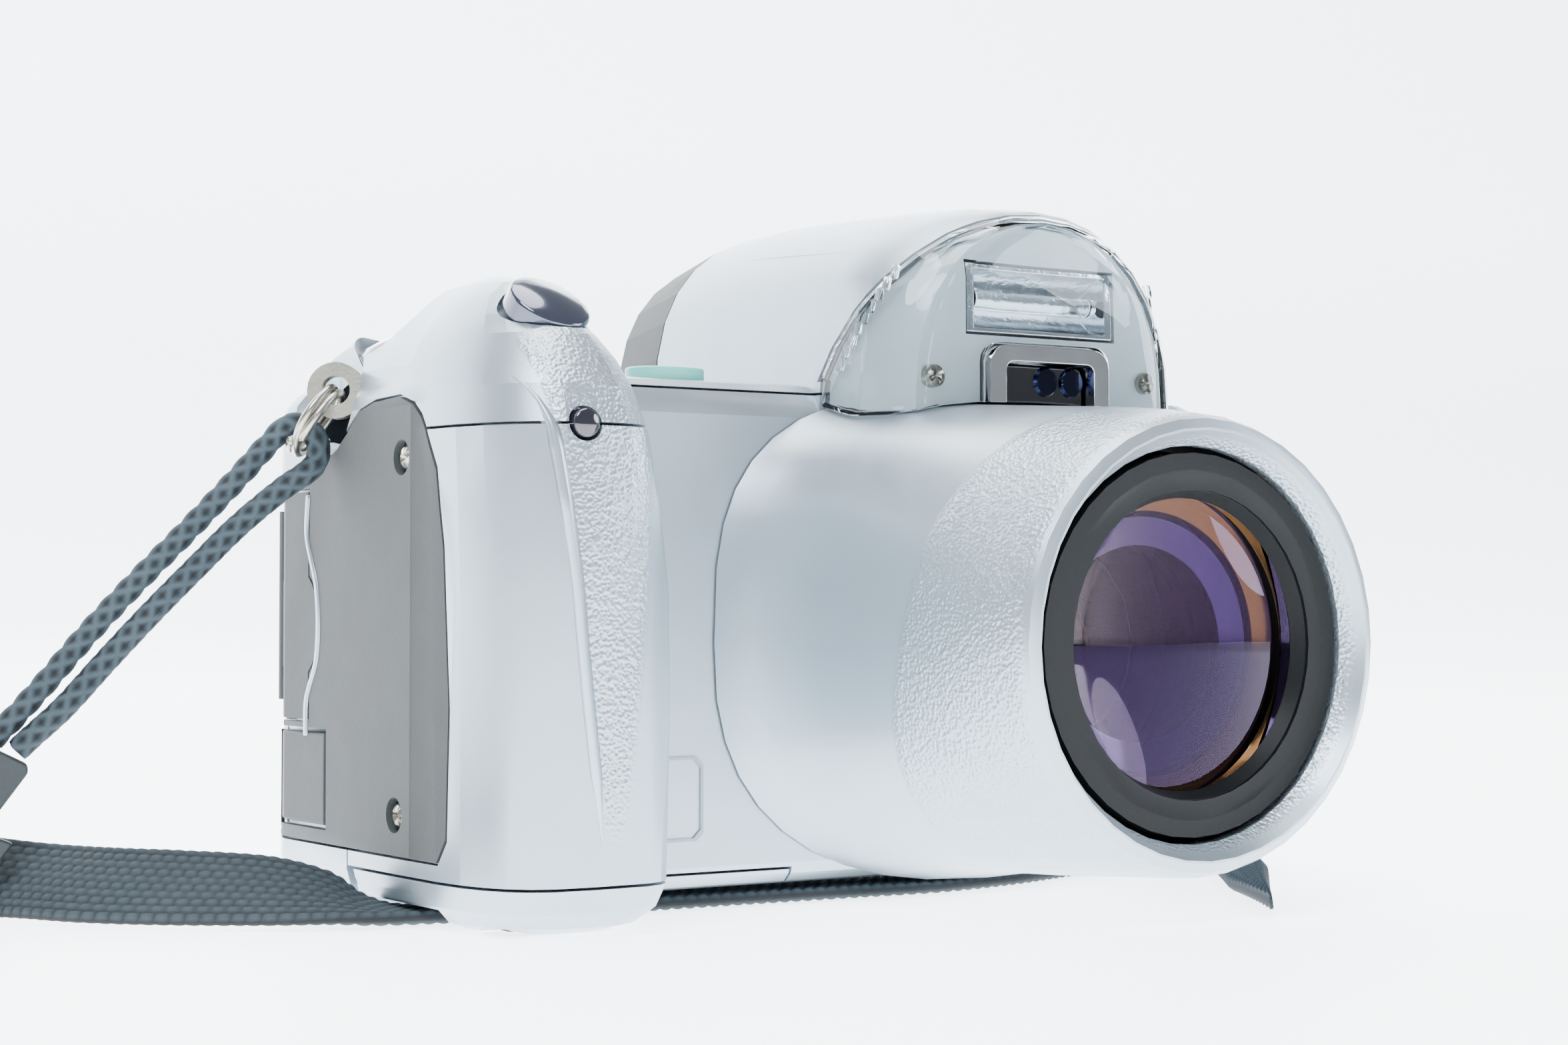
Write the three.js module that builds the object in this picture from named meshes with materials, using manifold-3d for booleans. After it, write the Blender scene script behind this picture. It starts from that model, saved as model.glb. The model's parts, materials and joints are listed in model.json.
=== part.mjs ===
// An ultra-zoom bridge camera with its neck strap, as an assembly of separate pieces.
// Millimetres. The lens looks along -Y, the grip is on the -X side, +Z is up and z = 0 is the table.
import * as THREE from "three";
import { mergeVertices } from "three/addons/utils/BufferGeometryUtils.js";
import Module from "manifold-3d";

const wasm = await Module();
wasm.setup();

// Body shell
const BODY_LEFT = -54;
const BODY_RIGHT = 54;
const BODY_FRONT = -3;
const BODY_BACK = 39;
const BODY_BOTTOM = 2.2;
const DECK_Z = 58;
const CORNER_R = 3.5;
const DECK_EDGE_R = 4;
const WALL = 2;
const GAP = 0.3;
const SPLIT_Y = 17;

// Grip
const GRIP_X = -42.5;
const GRIP_CREST_Y = 5;
const GRIP_SEAM_Z = 51.4;
const GRIP_INNER_X = -30.8;
const DECK_SEAM_Z = 56.8;
const PANEL_THICKNESS = 1;
const SCOOP_R = 10;

// Battery door
const DOOR_SEAM_Z = 4.8;
const DOOR_BODY_SEAM_Z = 3.9;
const DOOR_END_X = -9.9;
const DOOR_HINGE_Y = 15.8;
const DOOR_HINGE_Z = 3.5;
const DOOR_KNUCKLE_R = 1.2;
const DOOR_PIN_R = 0.5;
const PIN_CLEARANCE = 0.08;
const STRAP_GROOVE_TOP = 2.1;
const STRAP_GROOVE_FRONT = -3.2;

// Lens
const LENS_X = 17;
const LENS_Z = 29;
const RIM_FRONT = -42;
const RING_FRONT = -39.5;
const BARREL_R = 20.25;
const RIM_BORE_R = BARREL_R + 0.75;
const HOUSING_BORE_R = BARREL_R + 2.75;
const BARREL_WALL = 1.8;
const BARREL_LENGTH = 27;
const GLASS_R = BARREL_R - 4.15;
const BASE_R = BARREL_R + 2.15;
const BASE_WALL = 1.5;

// Viewfinder hump and flash
const HUMP_FRONT = -15.2;
const HUMP_BACK = 30;
const HUMP_SPRING_Z = 56;
const EYECUP_BACK = 42;
const HUMP_CUT_HALF = 25.3;
const COVER_WALL = 1.2;
const COVER_REAR_Y = -1;
const COVER_REAR_Z = 55.5;
const COVER_REAR_SLOPE = -0.58;
const AF_HALF = 8.5;
const AF_TOP_Z = 62.2;
const FLASH_HALF = 10.3;
const FLASH_Z = 67.4;
const FLASH_HEIGHT = 7.6;
const FLASH_FRONT = -13.4;
const FLASH_BACK = -8;

// Rear controls
const LCD_X = 14;
const LCD_Z = 30;
const LCD_WINDOW = [35, 29];
const LCD_ACTIVE = [30.5, 23];
const PAD_AT = [-27, 28];
const PAD_R = 9.2;
const CENTRE_R = 3.5;
const SMALL_BUTTON_R = 2.7;

// Bought pieces
const CELL_R = 6.9;
const CELL_LENGTH = 50;
const TRIPOD_BORE_R = 3.175;
const TRIPOD_Y = 21;
const TRIPOD_PAD_R = 9;

// Strap
const WEB_WIDTH = 10;
const WEB_THICKNESS = 1.5;
const TAIL_WIDTH = 5;
const TAIL_THICKNESS = 2.2;
const LOOP_R = 1.3;
const RING_R = 4;
const RING_WIRE = 0.55;
const EYE_HOLE_R = 1.6;
const LUG_THICKNESS = 2.2;
const LUG_REACH = 3.9;

const PLASTIC = { color: 0xd3dade, roughness: 0.42, metalness: 0.35 };
const RUBBER = { color: 0x788587, roughness: 0.85, metalness: 0 };
const BLACK = { color: 0x2e3a40, roughness: 0.55, metalness: 0 };
const GLOSS = { color: 0x4a5160, roughness: 0.15, metalness: 0.6 };
const METAL = { color: 0xb9b4a8, roughness: 0.3, metalness: 1 };
const GLASS = { color: 0x5c4a70, roughness: 0.05, metalness: 0 };
const CLEAR = { color: 0xe4eef2, roughness: 0.05, metalness: 0 };
const WEBBING = { color: 0x3c4b52, roughness: 0.9, metalness: 0 };
const BOARD = { color: 0x2f6b4a, roughness: 0.6, metalness: 0 };
const GREEN = { color: 0x9eeae0, roughness: 0.35, metalness: 0 };

const root = new THREE.Group();

// A closed geometry as a manifold solid, turned outwards if its faces point inwards
function solid(geometry) {
  const bare = geometry.clone();
  bare.deleteAttribute("normal");
  bare.deleteAttribute("uv");
  const merged = mergeVertices(bare, 1e-4);
  const faces = new Uint32Array(merged.index.array);
  const build = () => new wasm.Manifold(new wasm.Mesh({
    numProp: 3,
    vertProperties: merged.attributes.position.array,
    triVerts: faces,
  }));
  const made = build();
  if (made.volume() > 0) return made;
  for (let i = 0; i < faces.length; i += 3) {
    [faces[i], faces[i + 1]] = [faces[i + 1], faces[i]];
  }
  return build();
}

function add(name, shape, look) {
  const source = shape.getMesh();
  const geometry = new THREE.BufferGeometry();
  geometry.setAttribute("position", new THREE.BufferAttribute(source.vertProperties, 3));
  geometry.setIndex(new THREE.BufferAttribute(source.triVerts, 1));
  const mesh = new THREE.Mesh(geometry, new THREE.MeshStandardMaterial(look));
  mesh.name = name;
  root.add(mesh);
}

// A box between two corners
function box(x0, x1, y0, y1, z0, z1) {
  const geometry = new THREE.BoxGeometry(x1 - x0, y1 - y0, z1 - z0);
  geometry.translate((x0 + x1) / 2, (y0 + y1) / 2, (z0 + z1) / 2);
  return solid(geometry);
}

// A geometry made about +Y, turned so that +Y points along direction, and moved to a place
function aim(geometry, direction, at) {
  const turn = new THREE.Quaternion();
  const towards = new THREE.Vector3(...direction).normalize();
  turn.setFromUnitVectors(new THREE.Vector3(0, 1, 0), towards);
  geometry.applyQuaternion(turn);
  geometry.translate(...at);
  return solid(geometry);
}

// A cylinder from a point, along a direction
function disc(radius, length, direction, at, sides = 32) {
  const geometry = new THREE.CylinderGeometry(radius, radius, length, sides);
  geometry.translate(0, length / 2, 0);
  return aim(geometry, direction, at);
}

// A solid of revolution, from [radius, distance along direction] points
function turned(profile, direction, at, sides = 40) {
  const points = profile.map(([r, h]) => new THREE.Vector2(r, h));
  return aim(new THREE.LatheGeometry(points, sides), direction, at);
}

// A tube about the lens axis
function lensTube(outer, inner, front, back, sides = 40) {
  const length = back - front;
  const profile = [[inner, 0], [outer, 0], [outer, length], [inner, length], [inner, 0]];
  return turned(profile, [0, 1, 0], [LENS_X, front, LENS_Z], sides);
}

// Rings of [x, y, z] points joined into one closed skin, with a fan over each end
function loft(rings) {
  const count = rings[0].length;
  const faces = [];
  for (let r = 0; r + 1 < rings.length; r++) {
    for (let i = 0; i < count; i++) {
      const a = r * count + i;
      const b = r * count + ((i + 1) % count);
      faces.push(a, b, b + count, a, b + count, a + count);
    }
  }
  const last = (rings.length - 1) * count;
  for (let i = 1; i + 1 < count; i++) {
    faces.push(0, i + 1, i, last, last + i, last + i + 1);
  }
  const geometry = new THREE.BufferGeometry();
  geometry.setAttribute("position", new THREE.Float32BufferAttribute(rings.flat(2), 3));
  geometry.setIndex(faces);
  return solid(geometry);
}

// An outline of four superellipse quarters: half and power run right, up, left, down
function quarters(centre, half, power, perQuarter) {
  const points = [];
  for (let q = 0; q < 4; q++) {
    for (let i = 0; i < perQuarter; i++) {
      const angle = ((q + i / perQuarter) * Math.PI) / 2;
      const c = Math.cos(angle);
      const s = Math.sin(angle);
      const u = Math.abs(c) < 1e-9 ? 0 : Math.sign(c) * Math.abs(c) ** (2 / power[q]);
      const v = Math.abs(s) < 1e-9 ? 0 : Math.sign(s) * Math.abs(s) ** (2 / power[q]);
      points.push([
        centre[0] + u * (u > 0 ? half[0] : half[2]),
        centre[1] + v * (v > 0 ? half[1] : half[3]),
      ]);
    }
  }
  return points;
}

function roundedRect(x0, x1, y0, y1, radius, perCorner) {
  const points = [];
  const corners = [[x1 - radius, y1 - radius], [x0 + radius, y1 - radius],
    [x0 + radius, y0 + radius], [x1 - radius, y0 + radius]];
  corners.forEach(([x, y], q) => {
    for (let i = 0; i <= perCorner; i++) {
      const angle = ((q + i / perCorner) * Math.PI) / 2;
      points.push([x + radius * Math.cos(angle), y + radius * Math.sin(angle)]);
    }
  });
  return points;
}

// An outline in the plane of axes u and v, pushed along the third axis from one value to another
function prism(outline, plane, from, to) {
  const shape = new THREE.Shape(outline.map(([u, v]) => new THREE.Vector2(u, v)));
  const geometry = new THREE.ExtrudeGeometry(shape, { depth: to - from, bevelEnabled: false });
  geometry.translate(0, 0, from);
  const unit = { x: [1, 0, 0], y: [0, 1, 0], z: [0, 0, 1] };
  const pushed = "xyz".replace(plane[0], "").replace(plane[1], "");
  const axes = [plane[0], plane[1], pushed].map((a) => new THREE.Vector3(...unit[a]));
  geometry.applyMatrix4(new THREE.Matrix4().makeBasis(...axes));
  return solid(geometry);
}

// Piecewise linear reading of a table of rows that start with the station
function reading(table, station) {
  let i = 0;
  while (i + 2 < table.length && table[i + 1][0] < station) i++;
  const [low, high] = [table[i], table[i + 1]];
  const share = Math.min(1, Math.max(0, (station - low[0]) / (high[0] - low[0])));
  return low.map((value, k) => value + share * (high[k] - value));
}

// Main block of the body, shrunk by an inset
function bodyBlock(inset) {
  const rounds = [];
  const [bottom, top] = [BODY_BOTTOM + inset, DECK_Z - inset];
  const bottomR = 2.5 - inset / 2;
  const topR = DECK_EDGE_R - inset;
  for (let i = 0; i <= 3; i++) {
    const a = (i * Math.PI) / 6;
    rounds.push([bottom + bottomR * (1 - Math.cos(a)), bottomR * (1 - Math.sin(a))]);
  }
  for (let i = 0; i <= 4; i++) {
    const a = (i * Math.PI) / 8;
    rounds.push([top - topR * (1 - Math.sin(a)), topR * (1 - Math.cos(a))]);
  }
  return loft(rounds.map(([z, edge]) => {
    const e = edge + inset;
    const radius = CORNER_R + 1.2;
    return roundedRect(BODY_LEFT + e, BODY_RIGHT - e, BODY_FRONT + e, BODY_BACK - e,
      Math.max(0.6, radius - e / 2), 3).map(([x, y]) => [x, y, z]);
  }));
}

// Grip column: height, front, back, left and right half widths, corner powers left and right
const GRIP_STATIONS = [
  [0, -12, 32, 7.5, 7.5, 2.8, 3.2],
  [0.8, -15, 35, 9.6, 9.6, 3, 3.6],
  [2.4, -16.9, 37.4, 10.9, 10.9, 3.2, 4],
  [4.8, -17.7, 39, 11.5, 11.5, 3.3, 4.4],
  [20, -18.4, 39, 11.5, 11.5, 3.1, 4.4],
  [34, -18.6, 39, 11.5, 11.5, 2.9, 4.2],
  [43, -18.5, 39, 11.5, 11, 2.7, 3.6],
  [51.4, -17.7, 38.4, 11.4, 10.4, 2.5, 3],
  [55.5, -16.2, 37, 10.9, 9.6, 2.4, 2.7],
  [58.5, -14.3, 34.8, 10, 8.6, 2.3, 2.5],
  [61, -12, 31, 8.8, 7.3, 2.2, 2.3],
  [63.2, -9.2, 26.5, 7.3, 5.9, 2.1, 2.2],
  [65.4, -6, 20.5, 5.4, 4.3, 2, 2],
  [67.1, -2.6, 14.4, 3.4, 2.7, 2, 2],
  [68.2, 3, 7, 0.6, 0.6, 2, 2],
];

function gripColumn(inset) {
  const top = GRIP_STATIONS[GRIP_STATIONS.length - 1][0];
  return loft(GRIP_STATIONS.map(([z, front, back, left, right, powerLeft, powerRight]) => {
    const level = z + (z < top / 2 ? inset * (1 - z / (top / 2)) : -inset * (2 * z / top - 1));
    const ahead = Math.max(0.4, GRIP_CREST_Y - front - inset);
    const behind = Math.max(0.4, back - GRIP_CREST_Y - inset);
    const half = [Math.max(0.3, right - inset), behind, Math.max(0.3, left - inset), ahead];
    const power = [8, 8, powerLeft, powerRight];
    return quarters([GRIP_X, GRIP_CREST_Y], half, power, 7).map(([x, y]) => [x, y, level]);
  }));
}

// Arched hump over the lens: distance back, half width, top, power
const HUMP_STATIONS = [
  [-15.2, 15.5, 76, 2.1],
  [-14.4, 18, 77, 2.15],
  [-12.5, 20.2, 77.9, 2.2],
  [-8, 22.4, 78.7, 2.3],
  [-2, 23.1, 79.1, 2.4],
  [10, 23.9, 79.7, 2.5],
  [20, 24.5, 80, 2.6],
  [30, 24.8, 79.6, 2.7],
  [42, 23.3, 77.6, 2.6],
];

function archSection(y, inset, base, steps = 16) {
  const [, half, top, power] = reading(HUMP_STATIONS, y);
  const points = [[LENS_X + half - inset, y, base]];
  for (let i = 0; i <= steps; i++) {
    const a = (i * Math.PI) / steps;
    const c = Math.cos(a);
    const s = Math.sin(a);
    const u = Math.sign(c) * Math.abs(c) ** (2 / power);
    const v = Math.abs(s) ** (2 / power);
    points.push([
      LENS_X + u * (half - inset),
      y,
      HUMP_SPRING_Z + 0.01 + v * (top - inset - HUMP_SPRING_Z),
    ]);
  }
  points.push([LENS_X - half + inset, y, base]);
  return points;
}

function hump(inset, front, back, base) {
  const between = HUMP_STATIONS.map(([y]) => y).filter((y) => y > front && y < back);
  return loft([front, ...between, back].map((y) => archSection(y, inset, base)));
}

// Half-space in front of (or behind) the slanted rear edge of the clear flash cover
function coverSide(ahead, shift) {
  const edge = (z) => COVER_REAR_Y + COVER_REAR_SLOPE * (z - COVER_REAR_Z) + shift;
  const far = ahead ? -90 : 90;
  const outline = [[edge(30), 30], [edge(100), 100], [far, 100], [far, 30]];
  return prism(outline, "yz", -90, 90);
}

// Bell-shaped lens housing: distance back, half left, half up, half down, power up, power down
const HOUSING_STATIONS = [
  [-42, 22.8, 22.8, 22.8, 2, 2],
  [-41.5, 23.8, 23.8, 23.8, 2, 2],
  [-40, 24.5, 24.4, 24.4, 2, 2],
  [-36, 25.2, 25, 24.8, 2.05, 2],
  [-30, 26.2, 25.6, 25.2, 2.3, 2.05],
  [-23, 27.3, 26.1, 25.6, 2.8, 2.15],
  [-18, 28.3, 26.4, 25.8, 3.3, 2.2],
  [-13, 29.8, 26.7, 26.1, 3.5, 2.3],
  [-9, 31.8, 27.2, 26.5, 3.4, 2.35],
  [-6, 34.2, 27.8, 27, 3.2, 2.4],
  [-3.3, 37, 28.5, 27.5, 3, 2.5],
];

function housingSolid(inset, front, back) {
  const between = HOUSING_STATIONS.map(([y]) => y).filter((y) => y > front && y < back);
  return loft([front, ...between, back].map((y) => {
    const [, side, up, down, powerUp, powerDown] = reading(HOUSING_STATIONS, y);
    const half = [side - inset, up - inset, side - inset, down - inset];
    const power = [powerUp, powerUp, powerDown, powerDown];
    return quarters([LENS_X, LENS_Z], half, power, 10).map(([x, z]) => [x, y, z]);
  }));
}

// Strap eyelets: where the hole is, the hole's axis, and the way its ring hangs
const EYES = {
  left: { at: [-54, 20.3, 56.6], axis: [0.549, 0.836, 0], hang: [-0.49, 0.3, -0.818], inward: [0.836, -0.549, 0] },
  right: { at: [BODY_RIGHT + 1.2, 20, 50], axis: [0, 1, 0], hang: [0.4, 0, -0.917], inward: [-1, 0, 0] },
};

function along(from, direction, distance) {
  return from.map((value, k) => value + direction[k] * distance);
}

// Lug plate with its eye, grown by a margin
function lugPlate(eye, margin) {
  const outerR = 3.1 + margin;
  const thickness = LUG_THICKNESS + 2 * margin;
  const start = along(eye.at, eye.axis, -thickness / 2);
  const reach = LUG_REACH + margin;
  const arm = new THREE.BoxGeometry(reach, thickness, 3.4 + 2 * margin);
  arm.translate(-reach / 2, 0, 0);
  const angle = Math.atan2(-eye.inward[1], -eye.inward[0]);
  arm.rotateZ(angle);
  arm.translate(...eye.at);
  return disc(outerR, thickness, eye.axis, start, 24).add(solid(arm));
}

function makeLug(side) {
  const eye = EYES[side];
  const hole = disc(EYE_HOLE_R, 8, eye.axis, along(eye.at, eye.axis, -4), 20);
  return lugPlate(eye, 0).subtract(hole);
}

// Split ring hanging in its eye: a ring of a double wire
function makeRing(side) {
  const eye = EYES[side];
  const centre = along(eye.at, eye.hang, RING_R);
  const normal = new THREE.Vector3(...eye.axis).cross(new THREE.Vector3(...eye.hang));
  const profile = [];
  for (let i = 0; i <= 8; i++) {
    const a = (i * Math.PI) / 4;
    profile.push([RING_R + RING_WIRE * Math.cos(a), 2 * RING_WIRE * Math.sin(a)]);
  }
  return turned(profile, normal.toArray(), centre, 24);
}

// Scoop in the shell around the left lug
function lugScoop() {
  const sphere = new THREE.SphereGeometry(SCOOP_R, 24, 16);
  sphere.translate(-59.5, 24, 57.5);
  return solid(sphere);
}

// Outline of the rubber side panel, in Y and Z
const PANEL_OUTLINE = [
  [-4.2, 7], [-5.9, 9.5], [-6.3, 23], [-5, 39], [-3.4, 47], [-1, 51.4], [1.4, 54], [5, 55],
  [11, 54.8], [14.5, 54], [17.5, 51.8], [21.5, 49.6], [27, 48.3], [33, 47.6], [37, 46.4],
  [37, 8.5], [35.5, 7],
];
const CARD_DOOR = { front: 27.8, back: 35.4, low: 20.4, high: 45.8, notchY: 31.4, notchZ: 31, notchR: 6.4 };
const CARD_HINGE = [-52.9, 36.2];
const CARD_KNUCKLE_R = 0.95;
const CARD_HINGE_CLEARANCE = 0.6;
const USB_FLAP = { front: 23.3, back: 35.9, low: 8.9, high: 19 };
const PANEL_SCREWS = [[3.9, 48.6], [5.4, 11.2]];
const PANEL_SCREW_R = 1.9;

function cardDoorOutline(margin) {
  const d = CARD_DOOR;
  const plate = prism([[d.front - margin, d.low - margin], [d.back + margin, d.low - margin],
    [d.back + margin, d.high + margin], [d.front - margin, d.high + margin]], "yz", -60, -50);
  const notch = disc(d.notchR + margin, 10, [1, 0, 0], [-60, d.notchY, d.notchZ], 32);
  return plate.add(notch);
}

function usbOutline(margin) {
  const f = USB_FLAP;
  return box(-60, -50, f.front - margin, f.back + margin, f.low - margin, f.high + margin);
}

// The outer skin and the hollow inside it
function shell(inset) {
  return bodyBlock(inset)
    .add(gripColumn(inset))
    .add(hump(inset, HUMP_FRONT + inset, HUMP_BACK - inset, DECK_Z - 5));
}

const outer = shell(0);
const hollow = shell(WALL);
const housingKeepOut = housingSolid(-GAP, -43, -2.8);

// Space that the battery door and the pieces behind it take
function doorRegion(margin) {
  const back = SPLIT_Y + margin - GAP;
  const grip = box(-70, GRIP_INNER_X, -40, back, -5, DOOR_SEAM_Z + margin);
  const body = box(GRIP_INNER_X - 1, DOOR_END_X + margin, -40, back, -5, DOOR_BODY_SEAM_Z + margin);
  return grip.add(body);
}

function strapGroove() {
  return box(-70, GRIP_INNER_X + 1, STRAP_GROOVE_FRONT, SPLIT_Y + 2, -5, STRAP_GROOVE_TOP);
}

// Axes of the slanted round controls
const SHUTTER = { at: [-42.6, -7.1, 64.2], axis: [0.1, -0.62, 0.78], radius: 4.5 };
const DIAL = { at: [-43, 18.5, 62.4], axis: [-0.42, 0.08, 0.9], radius: 8.2 };
const LAMP = { at: [-43.9, -18.2, GRIP_SEAM_Z], radius: 1.5 };
const DIOPTRE = { at: [38.4, 24, 66], radius: 4.5 };
const POWER = { at: [-20, 23, 56], radius: 4.5 };
const GREEN_AT = [-21.4, 5];
const GREEN_HALF = [4.5, 3.4];
const GREEN_RISE = 1.5;
const ROCKER = { at: [-39, 48], half: [8.5, 3.5] };
const REAR_BUTTONS = {
  menu_button: [-12.5, 43],
  display_button: [-12.5, 14],
  play_button: [-40, 13],
};

function greenOutline(margin) {
  const half = GREEN_HALF.map((h) => h + margin);
  return quarters(GREEN_AT, [half[0], half[1], half[0], half[1]], [2.4, 2.4, 2.4, 2.4], 6);
}

function rockerOutline(margin) {
  const half = ROCKER.half.map((h) => h + margin);
  return quarters(ROCKER.at, [half[0], half[1], half[0], half[1]], [3, 3, 3, 3], 6);
}

// Everything that the three covers make room for
function coverCuts() {
  const cuts = [
    lugScoop(),
    lugPlate(EYES.left, GAP),
    lugPlate(EYES.right, GAP),
    disc(SHUTTER.radius + GAP, 6, SHUTTER.axis, along(SHUTTER.at, SHUTTER.axis, -3)),
    disc(DIAL.radius + GAP, 8, DIAL.axis, along(DIAL.at, DIAL.axis, -3)),
    disc(LAMP.radius + GAP, 5, [0, 1, 0], [LAMP.at[0], -20, LAMP.at[2]], 24),
    disc(DIOPTRE.radius + GAP, 6, [1, 0, 0], [DIOPTRE.at[0] - GAP, DIOPTRE.at[1], DIOPTRE.at[2]]),
    disc(POWER.radius + GAP, 6, [0, 0, 1], [POWER.at[0], POWER.at[1], POWER.at[2] - GAP]),
    prism(greenOutline(GAP), "xy", DECK_Z - 3, DECK_Z + 3),
    prism(rockerOutline(GAP), "xz", BODY_BACK - 6, BODY_BACK + 3),
    disc(PAD_R + GAP, 8, [0, 1, 0], [PAD_AT[0], BODY_BACK - 5, PAD_AT[1]]),
    box(LCD_X - LCD_WINDOW[0] / 2 - GAP, LCD_X + LCD_WINDOW[0] / 2 + GAP, BODY_BACK - 1, BODY_BACK + 2,
      LCD_Z - LCD_WINDOW[1] / 2 - GAP, LCD_Z + LCD_WINDOW[1] / 2 + GAP),
    box(LCD_X - LCD_ACTIVE[0] / 2, LCD_X + LCD_ACTIVE[0] / 2, BODY_BACK - 5, BODY_BACK + 2,
      LCD_Z - LCD_ACTIVE[1] / 2, LCD_Z + LCD_ACTIVE[1] / 2),
    disc(HOUSING_BORE_R, 8, [0, 1, 0], [LENS_X, BODY_FRONT - 4, LENS_Z], 48),
    disc(5.5 + GAP, 12, [0, 0, 1], [LENS_X, TRIPOD_Y, -1], 24),
    disc(TRIPOD_PAD_R + GAP, 3.2, [0, 0, 1], [LENS_X, TRIPOD_Y, -1]),
    disc(7.5, 6, [0, 1, 0], [LENS_X, HUMP_BACK - 4, 67]),
    disc(CARD_KNUCKLE_R + CARD_HINGE_CLEARANCE, CARD_DOOR.high - CARD_DOOR.low + 2 * GAP, [0, 0, 1],
      [...CARD_HINGE, CARD_DOOR.low - GAP], 16),
    cardDoorOutline(GAP).intersect(box(-60, -52.1, 0, 50, 0, 60)),
    usbOutline(GAP + 0.2).intersect(box(-60, -52.6, 0, 50, 0, 60)),
    box(-60, -47, 26, 33.6, 11.6, 16.2),
    strapGroove(),
    doorRegion(GAP),
  ];
  for (const [x, z] of Object.values(REAR_BUTTONS)) {
    cuts.push(disc(SMALL_BUTTON_R + GAP, 8, [0, 1, 0], [x, BODY_BACK - 5, z], 24));
  }
  return cuts.reduce((all, cut) => all.add(cut));
}

const cuts = coverCuts();

function panelPrism(margin, x1) {
  const centre = [15, 30];
  const grown = PANEL_OUTLINE.map(([y, z]) => [
    y + margin * Math.sign(y - centre[0]),
    z + margin * Math.sign(z - centre[1]),
  ]);
  return prism(grown, "yz", -60, x1);
}

function makeCovers() {
  const skin = outer.subtract(hollow).subtract(cuts)
    .subtract(panelPrism(GAP, BODY_LEFT + PANEL_THICKNESS + GAP));
  const gripTop = box(-70, GRIP_INNER_X, -40, 60, GRIP_SEAM_Z + GAP / 2, 100);
  const deckTop = box(GRIP_INNER_X - 0.01, 70, -40, 60, DECK_SEAM_Z + GAP / 2, 100);
  const topSpace = gripTop.add(deckTop);
  const gripLow = box(-70, GRIP_INNER_X + GAP, -40, 60, -5, GRIP_SEAM_Z - GAP / 2);
  const deckLow = box(GRIP_INNER_X + GAP, 70, -40, 60, -5, DECK_SEAM_Z - GAP / 2);
  const lowSpace = gripLow.add(deckLow);
  const ahead = box(-70, 70, -40, SPLIT_Y - GAP / 2, -5, 100);
  const behind = box(-70, 70, SPLIT_Y + GAP / 2, 60, -5, 100);
  const [humpLeft, humpRight] = [LENS_X - HUMP_CUT_HALF, LENS_X + HUMP_CUT_HALF];
  const flashSpace = coverSide(true, GAP / 2).intersect(box(humpLeft, humpRight, -90, 60, DECK_Z + GAP / 2, 100))
    .add(box(humpLeft, humpRight, -40, BODY_FRONT, 40, DECK_Z + GAP / 2));
  add("top_cover", skin.intersect(topSpace).subtract(flashSpace).subtract(housingKeepOut), PLASTIC);
  add("front_cover", skin.intersect(lowSpace).intersect(ahead).subtract(box(-10, 44, -40, BODY_FRONT, -5, 60)),
    PLASTIC);
  add("rear_cover", skin.intersect(lowSpace).intersect(behind), PLASTIC);
}

function makePanel() {
  const plate = outer.intersect(panelPrism(0, BODY_LEFT + PANEL_THICKNESS));
  let panel = plate.subtract(cardDoorOutline(GAP)).subtract(usbOutline(GAP + 0.2)).subtract(lugScoop())
    .subtract(disc(CARD_KNUCKLE_R + CARD_HINGE_CLEARANCE, 30, [0, 0, 1], [...CARD_HINGE, 19], 16));
  for (const [y, z] of PANEL_SCREWS) {
    panel = panel.subtract(disc(PANEL_SCREW_R, 10, [1, 0, 0], [-60, y, z], 20));
  }
  return panel;
}

function makeCardDoor() {
  const d = CARD_DOOR;
  const plate = outer.intersect(cardDoorOutline(0)).intersect(box(-60, -52.6, 0, CARD_HINGE[1], 0, 60));
  const link = box(CARD_HINGE[0] - 0.2, -52.4, d.back - 1, CARD_HINGE[1], d.low + 2, d.high - 2);
  const knuckle = disc(CARD_KNUCKLE_R, d.high - d.low - 4, [0, 0, 1], [...CARD_HINGE, d.low + 2], 16);
  return plate.add(link).add(knuckle);
}

function makeUsbCover() {
  const flap = outer.intersect(usbOutline(0)).intersect(box(-60, -53, 0, 60, 0, 60));
  return flap;
}

function makeBatteryDoor() {
  const region = doorRegion(0).intersect(box(-70, 0, -40, DOOR_HINGE_Y - 0.4, -5, 10));
  const pocket = gripColumn(WALL + 0.6).intersect(box(-70, 0, -40, -5, 2.6, 10));
  const latchPocket = box(-49.5, -36.5, -11, -5.4, -1, 1.8);
  const knuckle = disc(DOOR_KNUCKLE_R, 40, [1, 0, 0], [-52.4, DOOR_HINGE_Y, DOOR_HINGE_Z], 20);
  const bore = disc(DOOR_PIN_R + PIN_CLEARANCE, 60, [1, 0, 0], [-60, DOOR_HINGE_Y, DOOR_HINGE_Z], 16);
  return outer.intersect(region).subtract(strapGroove().intersect(box(-70, 0, -40, 30, -5, STRAP_GROOVE_TOP)))
    .subtract(pocket).subtract(latchPocket).add(knuckle).subtract(bore);
}

function makeHousing() {
  const wallInside = housingSolid(WALL, -36, 0);
  const bores = disc(HOUSING_BORE_R, 40, [0, 1, 0], [LENS_X, -38.2, LENS_Z], 40)
    .add(disc(RIM_BORE_R, 10, [0, 1, 0], [LENS_X, -44, LENS_Z], 40))
    .add(turned([[0, 0], [RIM_BORE_R + 1.6, 0], [RIM_BORE_R, 2.6], [0, 2.6]], [0, 1, 0], [LENS_X, RIM_FRONT - 0.1, LENS_Z], 40));
  return housingSolid(0, RIM_FRONT, BODY_FRONT - GAP).subtract(wallInside).subtract(bores)
    .subtract(box(-60, 80, -20, 0, DECK_Z - 0.4, 70));
}

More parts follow.
